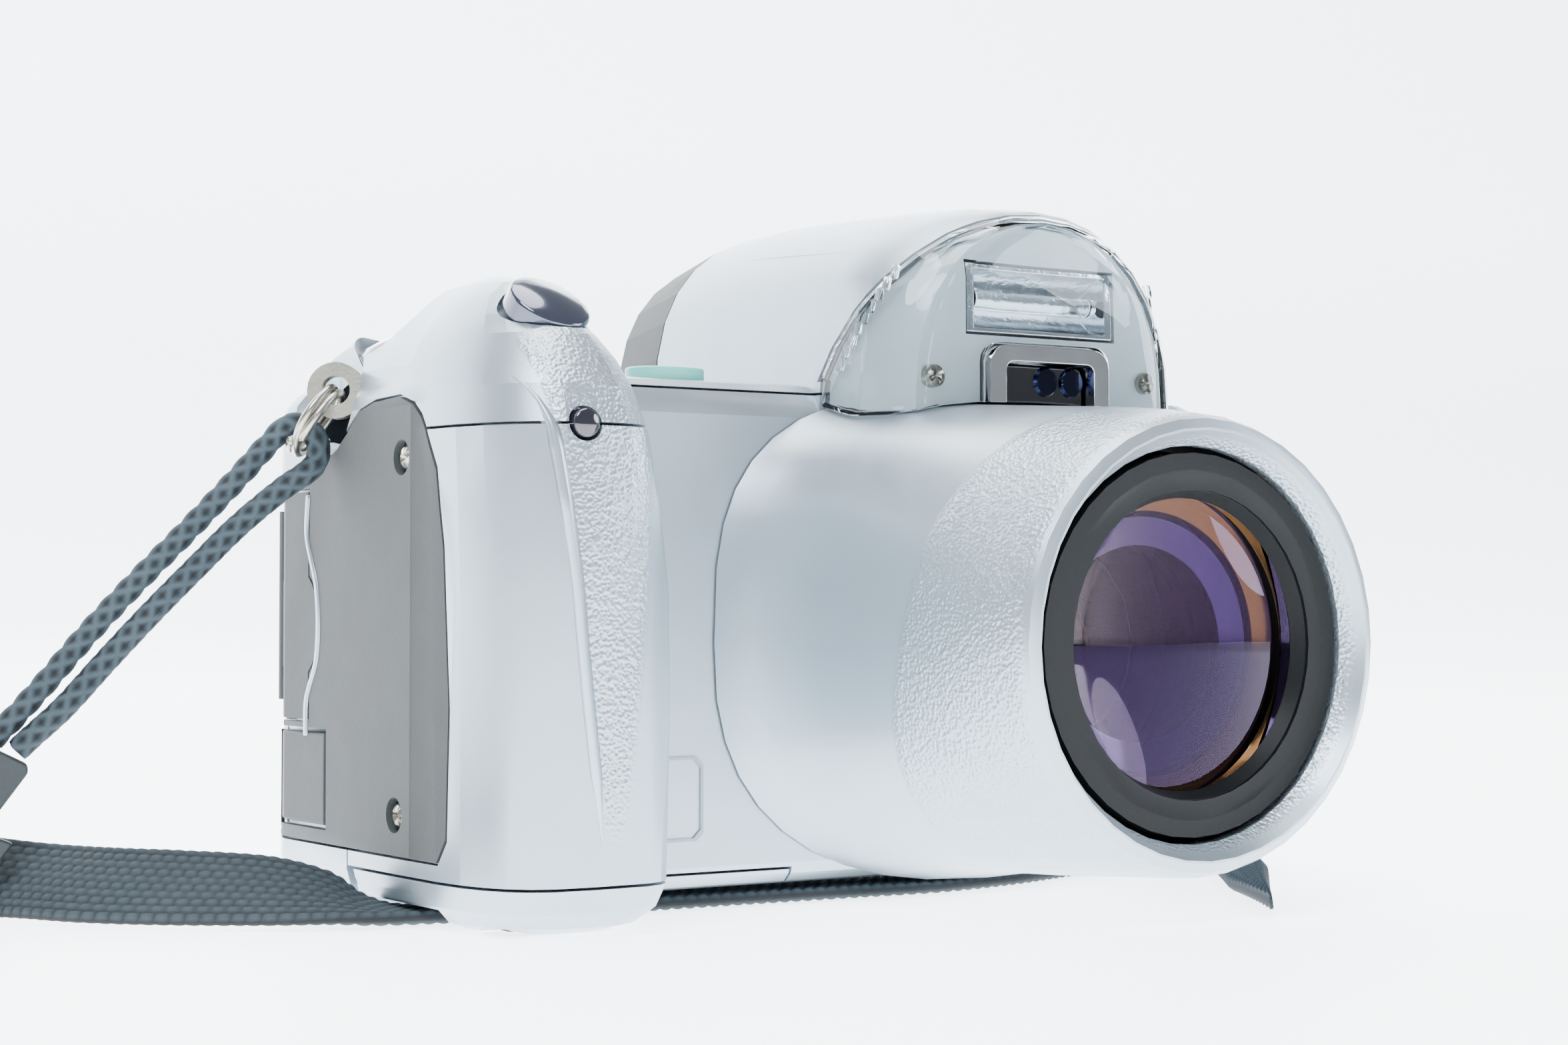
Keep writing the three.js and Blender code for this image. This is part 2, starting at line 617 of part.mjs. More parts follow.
function makeBarrel() {
  const tube = lensTube(BARREL_R, BARREL_R - BARREL_WALL, RING_FRONT, RING_FRONT + BARREL_LENGTH);
  const face = lensTube(BARREL_R - 0.2, GLASS_R + GAP, RING_FRONT + 0.01, RING_FRONT + 2);
  const steps = [[1.65, 0], [3.85, 0], [3.85, 1.6], [5.65, 1.6], [5.65, 3.4], [7.45, 3.4], [7.45, 5.2],
    [9.45, 5.2], [9.45, 7], [1.65, 7], [1.65, 0]].map(([inward, y]) => [BARREL_R - inward, y]);
  const baffle = turned(steps, [0, 1, 0], [LENS_X, RING_FRONT + 9.5, LENS_Z], 40);
  return tube.add(face).add(baffle);
}

// A biconvex lens about the lens axis
function lensDisc(radius, frontY, edge, bulge) {
  const profile = [[0, -bulge], [radius * 0.5, -bulge * 0.77], [radius * 0.8, -bulge * 0.38], [radius, 0],
    [radius, edge], [radius * 0.6, edge + bulge * 0.5], [0, edge + bulge * 0.8]];
  return turned(profile, [0, 1, 0], [LENS_X, frontY, LENS_Z], 32);
}

function makeVariator() {
  const cell = lensTube(12.5, 9, -16, -9, 24);
  return cell.add(lensDisc(9.2, -14.5, 3, 1.2));
}

function makeLensBase() {
  const tube = lensTube(BASE_R, BASE_R - BASE_WALL, -32, 7);
  return tube.add(lensTube(BASE_R - 0.2, 8, 6.9, 9)).add(lensTube(14, 12.6, 2, 7.2, 24));
}

function makeRearGroup() {
  return lensTube(12, 6.9, -1, 6, 24).add(lensDisc(7, 0.8, 2.6, 1));
}

function makeSensor() {
  return box(4, 30, 12.5, 14.1, LENS_Z - 12, LENS_Z + 12).add(box(12, 22, 10.8, 12.6, LENS_Z - 4, LENS_Z + 4));
}

function afCut(margin) {
  return prism(roundedRect(LENS_X - AF_HALF - margin, LENS_X + AF_HALF + margin, 45, AF_TOP_Z + margin, 2.2, 4),
    "xz", -25, -11);
}

function makeFlashCover() {
  const front = HUMP_FRONT;
  const space = coverSide(true, -GAP / 2);
  const skin = hump(0, front, 10, 45).intersect(space);
  const inside = hump(COVER_WALL, front + COVER_WALL, 12, 40);
  return skin.subtract(inside).subtract(afCut(GAP)).subtract(housingKeepOut)
    .subtract(box(-20, 60, -3 - GAP, 20, 40, DECK_Z + GAP));
}

function makeFlashHousing() {
  const front = HUMP_FRONT + COVER_WALL + 0.5;
  const space = coverSide(true, -GAP);
  const body = hump(COVER_WALL + 0.5, front, 10, 45).intersect(space);
  const inside = hump(COVER_WALL + 3, front + 4.6, 12, 40);
  const window = box(LENS_X - FLASH_HALF - GAP, LENS_X + FLASH_HALF + GAP, -20, 0,
    FLASH_Z - FLASH_HEIGHT / 2 - GAP, FLASH_Z + FLASH_HEIGHT / 2 + GAP);
  return body.subtract(inside).subtract(window).subtract(afCut(GAP)).subtract(housingKeepOut)
    .subtract(box(-20, 60, -3 - GAP, 20, 40, DECK_Z + GAP));
}

function makeReflector() {
  const [low, high] = [FLASH_Z - FLASH_HEIGHT / 2, FLASH_Z + FLASH_HEIGHT / 2];
  const block = box(LENS_X - FLASH_HALF, LENS_X + FLASH_HALF, FLASH_FRONT, FLASH_BACK, low, high);
  const trough = new THREE.CylinderGeometry(1, 1, 2 * FLASH_HALF - 2, 24);
  trough.rotateZ(Math.PI / 2);
  trough.scale(1, 4.6, FLASH_HEIGHT / 2 - 0.5);
  trough.translate(LENS_X, FLASH_FRONT - 0.3, FLASH_Z);
  return block.subtract(solid(trough));
}

function makeAfFrame() {
  const frame = afCut(0).intersect(box(0, 40, HUMP_FRONT - 0.5, HUMP_FRONT + 5, 50, 70));
  const window = prism(roundedRect(LENS_X - AF_HALF + 2.2, LENS_X + AF_HALF - 2.2, 45, AF_TOP_Z - 1.8, 1, 3),
    "xz", -25, HUMP_FRONT + 4);
  return frame.subtract(window).subtract(housingKeepOut);
}

function makeAfWindow() {
  const glass = prism(roundedRect(LENS_X - AF_HALF + 2.5, LENS_X + AF_HALF - 2.5, 54.6, AF_TOP_Z - 2.1, 0.8, 3),
    "xz", HUMP_FRONT + 1.4, HUMP_FRONT + 3.7);
  return glass.subtract(housingKeepOut);
}

function makeEyecup() {
  const front = HUMP_BACK + GAP;
  const body = hump(0, front, EYECUP_BACK, HUMP_SPRING_Z - 1);
  const mouth = loft([[34, 9, 7.6], [EYECUP_BACK - 2, 13, 8.2], [EYECUP_BACK + 1, 15, 9]].map(([y, a, b]) =>
    quarters([LENS_X, 68], [a, b, a, b], [2.6, 2.6, 2.6, 2.6], 8).map(([x, z]) => [x, y, z])));
  const hole = disc(8.4, 8, [0, 1, 0], [LENS_X, 28, 67.5], 32);
  const skirt = box(-20, 60, HUMP_BACK, 50, 40, DECK_Z + 0.6);
  return body.subtract(mouth).subtract(hole).subtract(skirt);
}

function makeTripodSocket() {
  const profile = [[TRIPOD_BORE_R, 0], [TRIPOD_PAD_R, 0], [TRIPOD_PAD_R, 1.9], [5.5, 1.9], [5.5, 9.5],
    [TRIPOD_BORE_R, 9.5], [TRIPOD_BORE_R, 0]];
  const socket = turned(profile, [0, 0, 1], [LENS_X, TRIPOD_Y, 0], 32);
  return socket.add(disc(5, 1, [0, 0, 1], [LENS_X, TRIPOD_Y, 9], 24));
}

function makePad() {
  const profile = [[CENTRE_R + GAP, 0], [PAD_R, 0], [PAD_R, 3.2], [PAD_R - 1, 3.9], [CENTRE_R + GAP + 0.6, 3.2],
    [CENTRE_R + GAP, 3.2], [CENTRE_R + GAP, 0]];
  return turned(profile, [0, 1, 0], [PAD_AT[0], BODY_BACK - 3.2, PAD_AT[1]], 36);
}

// A low domed button of a radius, rising along a direction
function button(radius, length, dome, direction, at, sides = 32) {
  const profile = [[0, 0], [radius, 0], [radius, length - dome], [radius * 0.75, length - dome * 0.35], [0, length]];
  return turned(profile, direction, at, sides);
}

function makeModeDial() {
  const profile = [[0, 0], [DIAL.radius - 1, 0], [DIAL.radius, 1], [DIAL.radius, 4.2], [DIAL.radius - 0.6, 4.8],
    [0, 5]];
  return turned(profile, DIAL.axis, along(DIAL.at, DIAL.axis, -2.4), 40);
}

// A flat strip along points [x, y, z, roll]: roll 0 lies flat and 90 stands on edge
function strip(route, width, thickness, steps, taper) {
  const curve = new THREE.CatmullRomCurve3(route.map(([x, y, z]) => new THREE.Vector3(x, y, z)), false, "centripetal");
  const rings = [];
  for (let i = 0; i <= steps; i++) {
    const t = i / steps;
    const at = curve.getPoint(t);
    const tangent = curve.getTangent(t);
    const side = new THREE.Vector3(-tangent.y, tangent.x, 0).normalize();
    const lift = new THREE.Vector3().crossVectors(tangent, side).normalize();
    const place = Math.min(t * (route.length - 1), route.length - 1.0001);
    const k = Math.floor(place);
    const roll = (route[k][3] + (place - k) * (route[k + 1][3] - route[k][3])) * (Math.PI / 180);
    const across = side.clone().multiplyScalar(Math.cos(roll)).addScaledVector(lift, Math.sin(roll));
    const up = side.clone().multiplyScalar(-Math.sin(roll)).addScaledVector(lift, Math.cos(roll));
    const half = (width / 2) * (taper ? taper(t) : 1);
    const section = [[1, -0.6], [1, 0.6], [0.94, 1], [-0.94, 1], [-1, 0.6], [-1, -0.6], [-0.94, -1], [0.94, -1]];
    rings.push(section.map(([u, v]) => at.clone().addScaledVector(across, u * half)
      .addScaledVector(up, (v * thickness) / 2).toArray()));
  }
  return loft(rings);
}

// A round cord along points
function cord(route, radius, steps) {
  const curve = new THREE.CatmullRomCurve3(route.map((p) => new THREE.Vector3(...p)), false, "centripetal");
  const section = new THREE.Shape(Array.from({ length: 8 }, (_, i) =>
    new THREE.Vector2(radius * Math.cos((i * Math.PI) / 4), radius * Math.sin((i * Math.PI) / 4))));
  return solid(new THREE.ExtrudeGeometry(section, { steps, extrudePath: curve, bevelEnabled: false }));
}

// Strap routes, from the keepers and the hank along the table
const WEB_A_ROUTE = [
  [-97.6, 31.2, 5.1, 90], [-99.8, 27.6, 5.1, 90], [-103.2, 20, 5.1, 90], [-105.9, 8, 5.1, 90],
  [-107.4, -4, 5.1, 90], [-108.5, -10.4, 5.1, 90], [-110.2, -14.3, 5.1, 90], [-113.6, -15.6, 5.1, 90],
  [-118, -15.6, 5.1, 90],
];
const WEB_B_ROUTE = [
  [-118, 67.6, 5.1, 90], [-113.4, 67.6, 5.1, 90], [-109.8, 66.2, 5.1, 90], [-107.4, 61.6, 5.1, 88],
  [-104.6, 54.6, 5.1, 84], [-100.4, 47, 5.05, 74], [-95, 40.6, 4.8, 62], [-89.6, 35.6, 4.4, 52],
  [-84.6, 30.4, 4.05, 44], [-79.8, 22, 4, 43], [-74.3, 16.1, 3.95, 42], [-65.8, 10.3, 3.6, 36],
  [-60.4, 8, 2.8, 24], [-56.4, 6.8, 1.5, 8], [-52.6, 6, 0.85, 0], [-47, 5.3, 0.8, 0], [-38, 4.6, 0.8, 0],
  [-24.5, 3.8, 0.8, 0], [-10, 3, 0.8, 0], [0, 2.3, 0.8, 0], [10.3, 1.6, 0.8, 0], [22, 3.6, 0.8, 0],
  [32, 7, 0.8, 0], [41, 10.4, 0.8, 0], [49, 13, 0.8, 0], [57.2, 14.2, 0.8, 0],
];
const TAIL_ROUTE = [
  [61.2, 8.6, 1.9, 20], [57.4, 2.4, 2.1, 24], [51.4, -6.6, 2.5, 28], [44.6, -16, 2.5, 28], [38.4, -24.6, 2.1, 24],
  [33, -32.2, 1.7, 18], [29, -38.2, 1.25, 8],
];
const HANK = { x0: -122.2, x1: -109.8, y0: -14, y1: 66, height: 10.3 };
const LOOP_LEFT_ROUTE = [
  [-88.06, 31.9, 18.9], [-86.4, 31.2, 20.8], [-83.2, 30.2, 24.6], [-78.8, 28.9, 30.1], [-73.5, 27.2, 36.2],
  [-68.6, 25.8, 41.5], [-63.8, 24.5, 46.9], [-60.2, 24.1, 50.9], [-58.3, 23, 52.9], [-56.6, 21.9, 52.4],
  [-55.7, 21.3, 50.5], [-56.1, 21.5, 48.5], [-59.3, 22.8, 45.8], [-63.8, 24, 41.8], [-68, 25.1, 37.4],
  [-72.8, 26.2, 32.3], [-77.3, 27.4, 27.2], [-81.7, 28.5, 22.1], [-84.5, 29.6, 19.3], [-85.9, 30.3, 17.8],
];
const LOOP_RIGHT_ROUTE = [
  [62.4, 14, 14.7], [61, 14.6, 19], [58.2, 16.6, 27], [56.4, 18.6, 35], [55.9, 20, 41.6], [55.9, 20, 43.7],
  [57.4, 20, 45.1], [59.5, 20, 45.2], [60.9, 20, 43.7], [62.4, 19.4, 38], [64.7, 17.4, 29], [66.2, 15.4, 20],
  [66, 14.1, 14.7],
];
const KEEPER_LEFT_OUTLINE = [
  [-84.9, 15.4], [-85, 16.4], [-91.2, 19.5], [-95.8, 12], [-96.5, 7.2], [-94.6, 5.2], [-87.8, 6.3], [-86.4, 8.1],
  [-89.6, 9.4],
];
const KEEPER_LEFT_Y = [29.2, 33];
const KEEPER_RIGHT = { at: [64.2, 14, 7.2], size: [9, 5.4, 13] };

function makeHank() {
  const [middle, radius] = [(HANK.x0 + HANK.x1) / 2, (HANK.x1 - HANK.x0) / 2];
  const outline = roundedRect(middle - radius, middle + radius, HANK.y0, HANK.y1, 3, 3);
  return prism(outline, "xy", 0, HANK.height);
}

function makeKeeperRight() {
  const { at: [x, y, z], size: [length, depth, height] } = KEEPER_RIGHT;
  const outline = roundedRect(x - length / 2, x + length / 2, z - height / 2, z + height / 2, 1.4, 3);
  return prism(outline, "xz", y - depth / 2, y + depth / 2);
}

makeCovers();
add("lens_housing", makeHousing(), PLASTIC);
add("grip_panel", makePanel(), RUBBER);
add("card_door", makeCardDoor(), RUBBER);
add("usb_cover", makeUsbCover(), RUBBER);
add("battery_door", makeBatteryDoor(), PLASTIC);
add("battery_door_pin", disc(DOOR_PIN_R, 41.4, [1, 0, 0], [-52.2, DOOR_HINGE_Y, DOOR_HINGE_Z], 16), METAL);
add("battery_latch", box(-48.8, -40, -10.4, -6, 0.3, 1.4), BLACK);
[[-42.9, -5.9], [-44.7, 8.1], [-30.6, 8.1], [-16.5, 8.1]].forEach(([x, y], i) => {
  const profile = [[0, 0], [CELL_R, 0], [CELL_R, CELL_LENGTH - 1.2], [2.7, CELL_LENGTH - 1.2], [2.7, CELL_LENGTH],
    [0, CELL_LENGTH]];
  add("battery_" + (i + 1), turned(profile, [0, 0, 1], [x, y, DOOR_SEAM_Z + 0.5], 24), METAL);
});
add("memory_card", box(-51.4, -19.4, 31, 33.1, 19.6, 43.6), BLACK);
add("main_board", box(-17, BODY_RIGHT - 4, 27.5, 29.1, 11, 52), BOARD);
add("flash_capacitor", disc(6.2, 30, [0, 0, 1], [BODY_RIGHT - 9, 20.4, 14], 20), BLACK);
add("tripod_socket", makeTripodSocket(), METAL);

add("front_barrel", makeBarrel(), BLACK);
add("front_element", lensDisc(GLASS_R, RING_FRONT + 2.6, 3.4, 2), GLASS);
add("variator_group", makeVariator(), BLACK);
add("lens_base", makeLensBase(), BLACK);
add("rear_group", makeRearGroup(), BLACK);
add("sensor_board", makeSensor(), BOARD);
add("zoom_motor", disc(4.5, 13, [0, 1, 0], [BODY_RIGHT - 10, 0.5, 13], 24), METAL);

add("flash_cover", makeFlashCover(), CLEAR);
add("flash_housing", makeFlashHousing(), PLASTIC);
add("flash_reflector", makeReflector(), METAL);
add("xenon_tube", disc(1.1, 2 * FLASH_HALF - 3.2, [1, 0, 0], [LENS_X - FLASH_HALF + 1.6, FLASH_FRONT + 1.6, FLASH_Z], 16), GLASS);
add("af_frame", makeAfFrame(), METAL);
add("af_window", makeAfWindow(), GLASS);

add("eyecup", makeEyecup(), RUBBER);
add("eyepiece_lens", disc(8, 2.6, [0, 1, 0], [LENS_X, 31, 67.5], 32), GLASS);
add("evf_module", box(10, 24, 13, 25, 61, 74), BLACK);
add("dioptre_dial", disc(DIOPTRE.radius, 3.2, [1, 0, 0], DIOPTRE.at, 32), BLACK);

add("lcd_window", box(LCD_X - LCD_WINDOW[0] / 2, LCD_X + LCD_WINDOW[0] / 2, BODY_BACK - 0.7, BODY_BACK + 0.5,
  LCD_Z - LCD_WINDOW[1] / 2, LCD_Z + LCD_WINDOW[1] / 2), GLASS);
add("lcd_panel", box(LCD_X - 16.5, LCD_X + 16.5, BODY_BACK - 5, BODY_BACK - WALL - GAP, LCD_Z - 13.5, LCD_Z + 13.5), BLACK);
add("four_way_pad", makePad(), PLASTIC);
add("centre_button", button(CENTRE_R, 4, 0.6, [0, 1, 0], [PAD_AT[0], BODY_BACK - 3.2, PAD_AT[1]], 24), PLASTIC);
for (const [name, [x, z]] of Object.entries(REAR_BUTTONS)) {
  add(name, button(SMALL_BUTTON_R, 3.9, 0.5, [0, 1, 0], [x, BODY_BACK - 3.2, z], 24), PLASTIC);
}
add("zoom_rocker", prism(rockerOutline(0), "xz", BODY_BACK - 1.6, BODY_BACK + 1.6), PLASTIC);

add("shutter_button", button(SHUTTER.radius, 3, 0.7, SHUTTER.axis, along(SHUTTER.at, SHUTTER.axis, -1.7)), GLOSS);
add("mode_dial", makeModeDial(), GLOSS);
add("power_button", button(POWER.radius, 2.6, 0.5, [0, 0, 1], POWER.at), GLOSS);
add("green_button", prism(greenOutline(0), "xy", DECK_Z - 1.4, DECK_Z + GREEN_RISE), GREEN);
add("self_timer_lamp", button(LAMP.radius, 3, 0.4, [0, -1, 0], [LAMP.at[0], LAMP.at[1] + 3, LAMP.at[2]], 24), BLACK);

for (const side of ["left", "right"]) {
  add("strap_lug_" + side, makeLug(side), METAL);
  add("split_ring_" + side, makeRing(side), METAL);
}
add("keeper_left", prism(KEEPER_LEFT_OUTLINE, "xz", ...KEEPER_LEFT_Y), BLACK);
add("keeper_right", makeKeeperRight(), BLACK);
add("strap_loop_left", cord(LOOP_LEFT_ROUTE, LOOP_R, 42), WEBBING);
add("strap_loop_right", cord(LOOP_RIGHT_ROUTE, LOOP_R, 32), WEBBING);
add("strap_web_a", strip(WEB_A_ROUTE, WEB_WIDTH, WEB_THICKNESS, 16), WEBBING);
add("strap_web_b", strip(WEB_B_ROUTE, WEB_WIDTH, WEB_THICKNESS, 50), WEBBING);
add("strap_tail", strip(TAIL_ROUTE, TAIL_WIDTH, TAIL_THICKNESS, 12, (t) => Math.min(1, (1.02 - t) * 3)), WEBBING);
add("strap_hank", makeHank(), WEBBING);

export default root;
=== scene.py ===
import json
import math

import bmesh
import bpy
import numpy as np
from mathutils import Matrix, Vector
from mathutils.bvhtree import BVHTree

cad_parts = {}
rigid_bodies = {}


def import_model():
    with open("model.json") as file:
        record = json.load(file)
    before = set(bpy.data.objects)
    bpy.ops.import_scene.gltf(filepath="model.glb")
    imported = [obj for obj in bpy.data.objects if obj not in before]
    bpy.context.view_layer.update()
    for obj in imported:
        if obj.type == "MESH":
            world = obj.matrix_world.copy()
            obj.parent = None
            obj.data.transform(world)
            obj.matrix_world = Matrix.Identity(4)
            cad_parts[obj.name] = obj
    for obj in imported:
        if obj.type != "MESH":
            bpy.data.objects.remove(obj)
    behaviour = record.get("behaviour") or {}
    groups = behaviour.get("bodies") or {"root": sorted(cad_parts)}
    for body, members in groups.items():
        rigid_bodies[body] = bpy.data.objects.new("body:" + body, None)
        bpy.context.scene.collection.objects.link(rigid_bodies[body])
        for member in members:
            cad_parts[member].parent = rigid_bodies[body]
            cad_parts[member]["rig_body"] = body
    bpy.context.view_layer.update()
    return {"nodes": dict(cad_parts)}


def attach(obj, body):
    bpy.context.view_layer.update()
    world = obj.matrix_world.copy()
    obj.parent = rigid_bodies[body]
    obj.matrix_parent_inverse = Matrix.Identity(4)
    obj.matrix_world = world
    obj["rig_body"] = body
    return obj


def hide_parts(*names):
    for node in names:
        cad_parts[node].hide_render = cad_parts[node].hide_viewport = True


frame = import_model()

# ---------------------------------------------------------------- viewpoint
# A 63 mm lens on a full-width sensor, low in front of the grip, looking along the lens side.
# It stands level with the middle of the lens and tips up a little.
MM = 0.001
VIEW_FROM = (-0.17714, -0.25635, 0.03383)
VIEW_HEADING, VIEW_TIP = math.radians(33.3), math.radians(1.6)
camera = bpy.data.objects.new("camera", bpy.data.cameras.new("camera"))
bpy.context.scene.collection.objects.link(camera)
camera.data.sensor_width = 36
camera.data.lens = 62.76
camera.data.clip_start = 0.01
level = math.cos(VIEW_TIP)
sight = Vector((math.sin(VIEW_HEADING) * level, math.cos(VIEW_HEADING) * level, math.sin(VIEW_TIP)))
camera.location = VIEW_FROM
camera.rotation_euler = sight.to_track_quat("-Z", "Y").to_euler()
bpy.context.scene.camera = camera

# ---------------------------------------------------------------- neck strap webbing
# Nylon webbing 10 mm wide, woven in bead-like rows on a narrow loom, dark slate and a little dusty.
# It leaves the left keeper on edge, lies in a folded hank and runs flat under the camera.
WEB_WIDTH, WEB_THICKNESS, WEB_COLUMNS, WEB_PITCH = 10, 1.5, 10, 1.5
TAIL_WIDTH, TAIL_THICKNESS, TAIL_COLUMNS = 5, 2.0, 5


def linear(code):
    """An sRGB hex colour as linear RGBA"""
    parts = [int(code[i : i + 2], 16) / 255 for i in (1, 3, 5)]
    return [p / 12.92 if p <= 0.04045 else ((p + 0.055) / 1.055) ** 2.4 for p in parts] + [1.0]


def add(tree, kind, sockets=None, **settings):
    """Adds a node, sets its settings, and sets or links its sockets"""
    node = tree.nodes.new(kind)
    for key, value in settings.items():
        setattr(node, key, value)
    for key, value in (sockets or {}).items():
        if isinstance(value, bpy.types.NodeSocket):
            tree.links.new(value, node.inputs[key])
        else:
            node.inputs[key].default_value = value
    return node


def surface(name, colour, second, metallic, roughness, grain, relief, **shader):
    """A finish with slow drift between two tones, worn gloss and fine relief; grain and relief in mm"""
    material = bpy.data.materials.new(name)
    material.use_nodes = True
    tree = material.node_tree
    tree.nodes.clear()
    place = add(tree, "ShaderNodeTexCoord").outputs["Object"]
    drift = add(tree, "ShaderNodeTexNoise", {"Vector": place, "Scale": 90.0, "Detail": 4.0})
    tone = add(
        tree,
        "ShaderNodeMix",
        {0: drift.outputs["Fac"], 6: linear(colour), 7: linear(second)},
        data_type="RGBA",
    )
    wear = add(tree, "ShaderNodeTexNoise", {"Vector": place, "Scale": 240.0, "Detail": 5.0})
    gloss = add(
        tree,
        "ShaderNodeMapRange",
        {"Value": wear.outputs["Fac"], "To Min": max(0.02, roughness - 0.06), "To Max": roughness + 0.06},
    )
    fine = add(tree, "ShaderNodeTexNoise", {"Vector": place, "Scale": 1000.0 / grain, "Detail": 2.0})
    bump = add(
        tree,
        "ShaderNodeBump",
        {"Height": fine.outputs["Fac"], "Distance": relief * MM, "Strength": 1.0},
    )
    base = add(
        tree,
        "ShaderNodeBsdfPrincipled",
        {
            "Base Color": tone.outputs[2],
            "Metallic": metallic,
            "Roughness": gloss.outputs["Result"],
            "Normal": bump.outputs["Normal"],
            **shader,
        },
    )
    add(tree, "ShaderNodeOutputMaterial", {"Surface": base.outputs[0]})
    return material


webbing_nylon = surface("woven nylon webbing", "#2b363c", "#3b484f", 0, 0.82, 0.12, 0.05)
braid_nylon = surface("braided nylon cord", "#33414a", "#47555c", 0, 0.85, 0.1, 0.05)
for cloth in (webbing_nylon, braid_nylon):
    # The gaps between threads lie in shadow, so the tone falls to near black where the crown is low.
    tree = cloth.node_tree
    crown = add(tree, "ShaderNodeAttribute", attribute_name="crown")
    shader = next(n for n in tree.nodes if n.bl_idname == "ShaderNodeBsdfPrincipled")
    threads = shader.inputs["Base Color"].links[0].from_socket
    shaded = add(
        tree,
        "ShaderNodeMix",
        {0: crown.outputs["Fac"], 6: linear("#0b0f12"), 7: threads},
        data_type="RGBA",
    )
    tree.links.new(shaded.outputs[2], shader.inputs["Base Color"])


def smooth_path(points, step):
    """A smooth line through points, with stations a step apart; further columns are carried along"""
    p = np.array(points, float)
    gaps = np.linalg.norm(np.diff(p[:, :3], axis=0), axis=1)
    t = np.concatenate([[0], np.cumsum(np.sqrt(gaps))])
    slope = np.gradient(p, t, axis=0)
    fine = np.linspace(0, t[-1], 60 * len(p))
    k = np.clip(np.searchsorted(t, fine, side="right") - 1, 0, len(p) - 2)
    h = (t[k + 1] - t[k])[:, None]
    s = ((fine - t[k]) / h[:, 0])[:, None]
    line = (
        (2 * s**3 - 3 * s**2 + 1) * p[k]
        + (s**3 - 2 * s**2 + s) * h * slope[k]
        + (3 * s**2 - 2 * s**3) * p[k + 1]
        + (s**3 - s**2) * h * slope[k + 1]
    )
    run = np.concatenate([[0], np.cumsum(np.linalg.norm(np.diff(line[:, :3], axis=0), axis=1))])
    count = max(2, int(round(run[-1] / step)) + 1)
    even = np.linspace(0, run[-1], count)
    return np.stack([np.interp(even, run, line[:, j]) for j in range(p.shape[1])], axis=1), run[-1]


def tube_mesh(name, rings, run, material, crown=None):
    """A closed tube from an array of rings, with a UV map in millimetres and a crown where threads rise"""
    stations, around = rings.shape[:2]
    mesh = bpy.data.meshes.new(name)
    i, j = np.meshgrid(np.arange(stations - 1), np.arange(around), indexing="ij")
    a = i * around + j
    b = i * around + (j + 1) % around
    quads = np.stack([a, b, b + around, a + around], axis=-1).reshape(-1, 4)
    faces = [tuple(q) for q in quads.tolist()]
    faces.append(tuple(range(around))[::-1])
    faces.append(tuple(range((stations - 1) * around, stations * around)))
    mesh.from_pydata((rings.reshape(-1, 3) * MM).tolist(), [], faces)
    work = bmesh.new()
    work.from_mesh(mesh)
    bmesh.ops.recalc_face_normals(work, faces=work.faces)
    layer = work.loops.layers.uv.new("along")
    along = np.linspace(0, run, stations)
    for face in work.faces:
        for loop in face.loops:
            station, side = divmod(loop.vert.index, around)
            loop[layer].uv = (side / around * 10, along[station])
    work.to_mesh(mesh)
    work.free()
    if crown is not None:
        raised = mesh.attributes.new("crown", "FLOAT", "POINT")
        raised.data.foreach_set("value", crown.reshape(-1).astype(np.float32))
    mesh.shade_smooth()
    mesh.materials.append(material)
    piece = bpy.data.objects.new(name, mesh)
    bpy.context.scene.collection.objects.link(piece)
    return piece


def frames_along(line):
    """Tangent, flat side and lift at each station"""
    tangent = np.gradient(line[:, :3], axis=0)
    tangent /= np.linalg.norm(tangent, axis=1)[:, None]
    side = np.stack([-tangent[:, 1], tangent[:, 0], np.zeros(len(tangent))], axis=1)
    side /= np.maximum(np.linalg.norm(side, axis=1), 1e-6)[:, None]
    return tangent, side, np.cross(tangent, side)


def webbing(name, route, width, thickness, columns, pitch, taper=None):
    """A woven ribbon along points [x, y, z, roll]: columns of beads across and a pitch along"""
    line, run = smooth_path(route, 0.3)
    _, side, lift = frames_along(line)
    roll = np.radians(line[:, 3])[:, None]
    across = side * np.cos(roll) + lift * np.sin(roll)
    up = -side * np.sin(roll) + lift * np.cos(roll)
    per_side = 4 * columns
    u = np.concatenate([np.linspace(-1, 1, per_side), np.linspace(1, -1, per_side)])
    face = np.concatenate([np.ones(per_side), -np.ones(per_side)])
    along = np.linspace(0, run, len(line))
    column = np.minimum(np.floor((u + 1) / 2 * columns), columns - 1)
    bead_across = np.abs(np.sin((u + 1) / 2 * columns * np.pi)) ** 0.6
    bead_along = np.abs(np.sin(np.pi * along[:, None] / pitch + (column % 2)[None, :] * np.pi / 2)) ** 0.6
    edge = np.clip((1 - np.abs(u)) * columns, 0, 1) ** 0.5
    height = (thickness / 2) * (0.62 + 0.38 * bead_across * bead_along) * (0.35 + 0.65 * edge)
    share = np.linspace(0, 1, len(line))
    narrow = np.ones(len(line)) if taper is None else taper(share)
    rings = (
        line[:, None, :3]
        + across[:, None, :] * (u[None, :, None] * (width / 2) * narrow[:, None, None])
        + up[:, None, :] * (height * face[None, :])[:, :, None]
    )
    crown = np.broadcast_to((bead_across * bead_along) ** 0.7, (len(line), len(u)))
    piece = tube_mesh(name, rings, run, webbing_nylon, crown)
    return piece, (line[:, :3] * MM)[::3].tolist(), run * MM


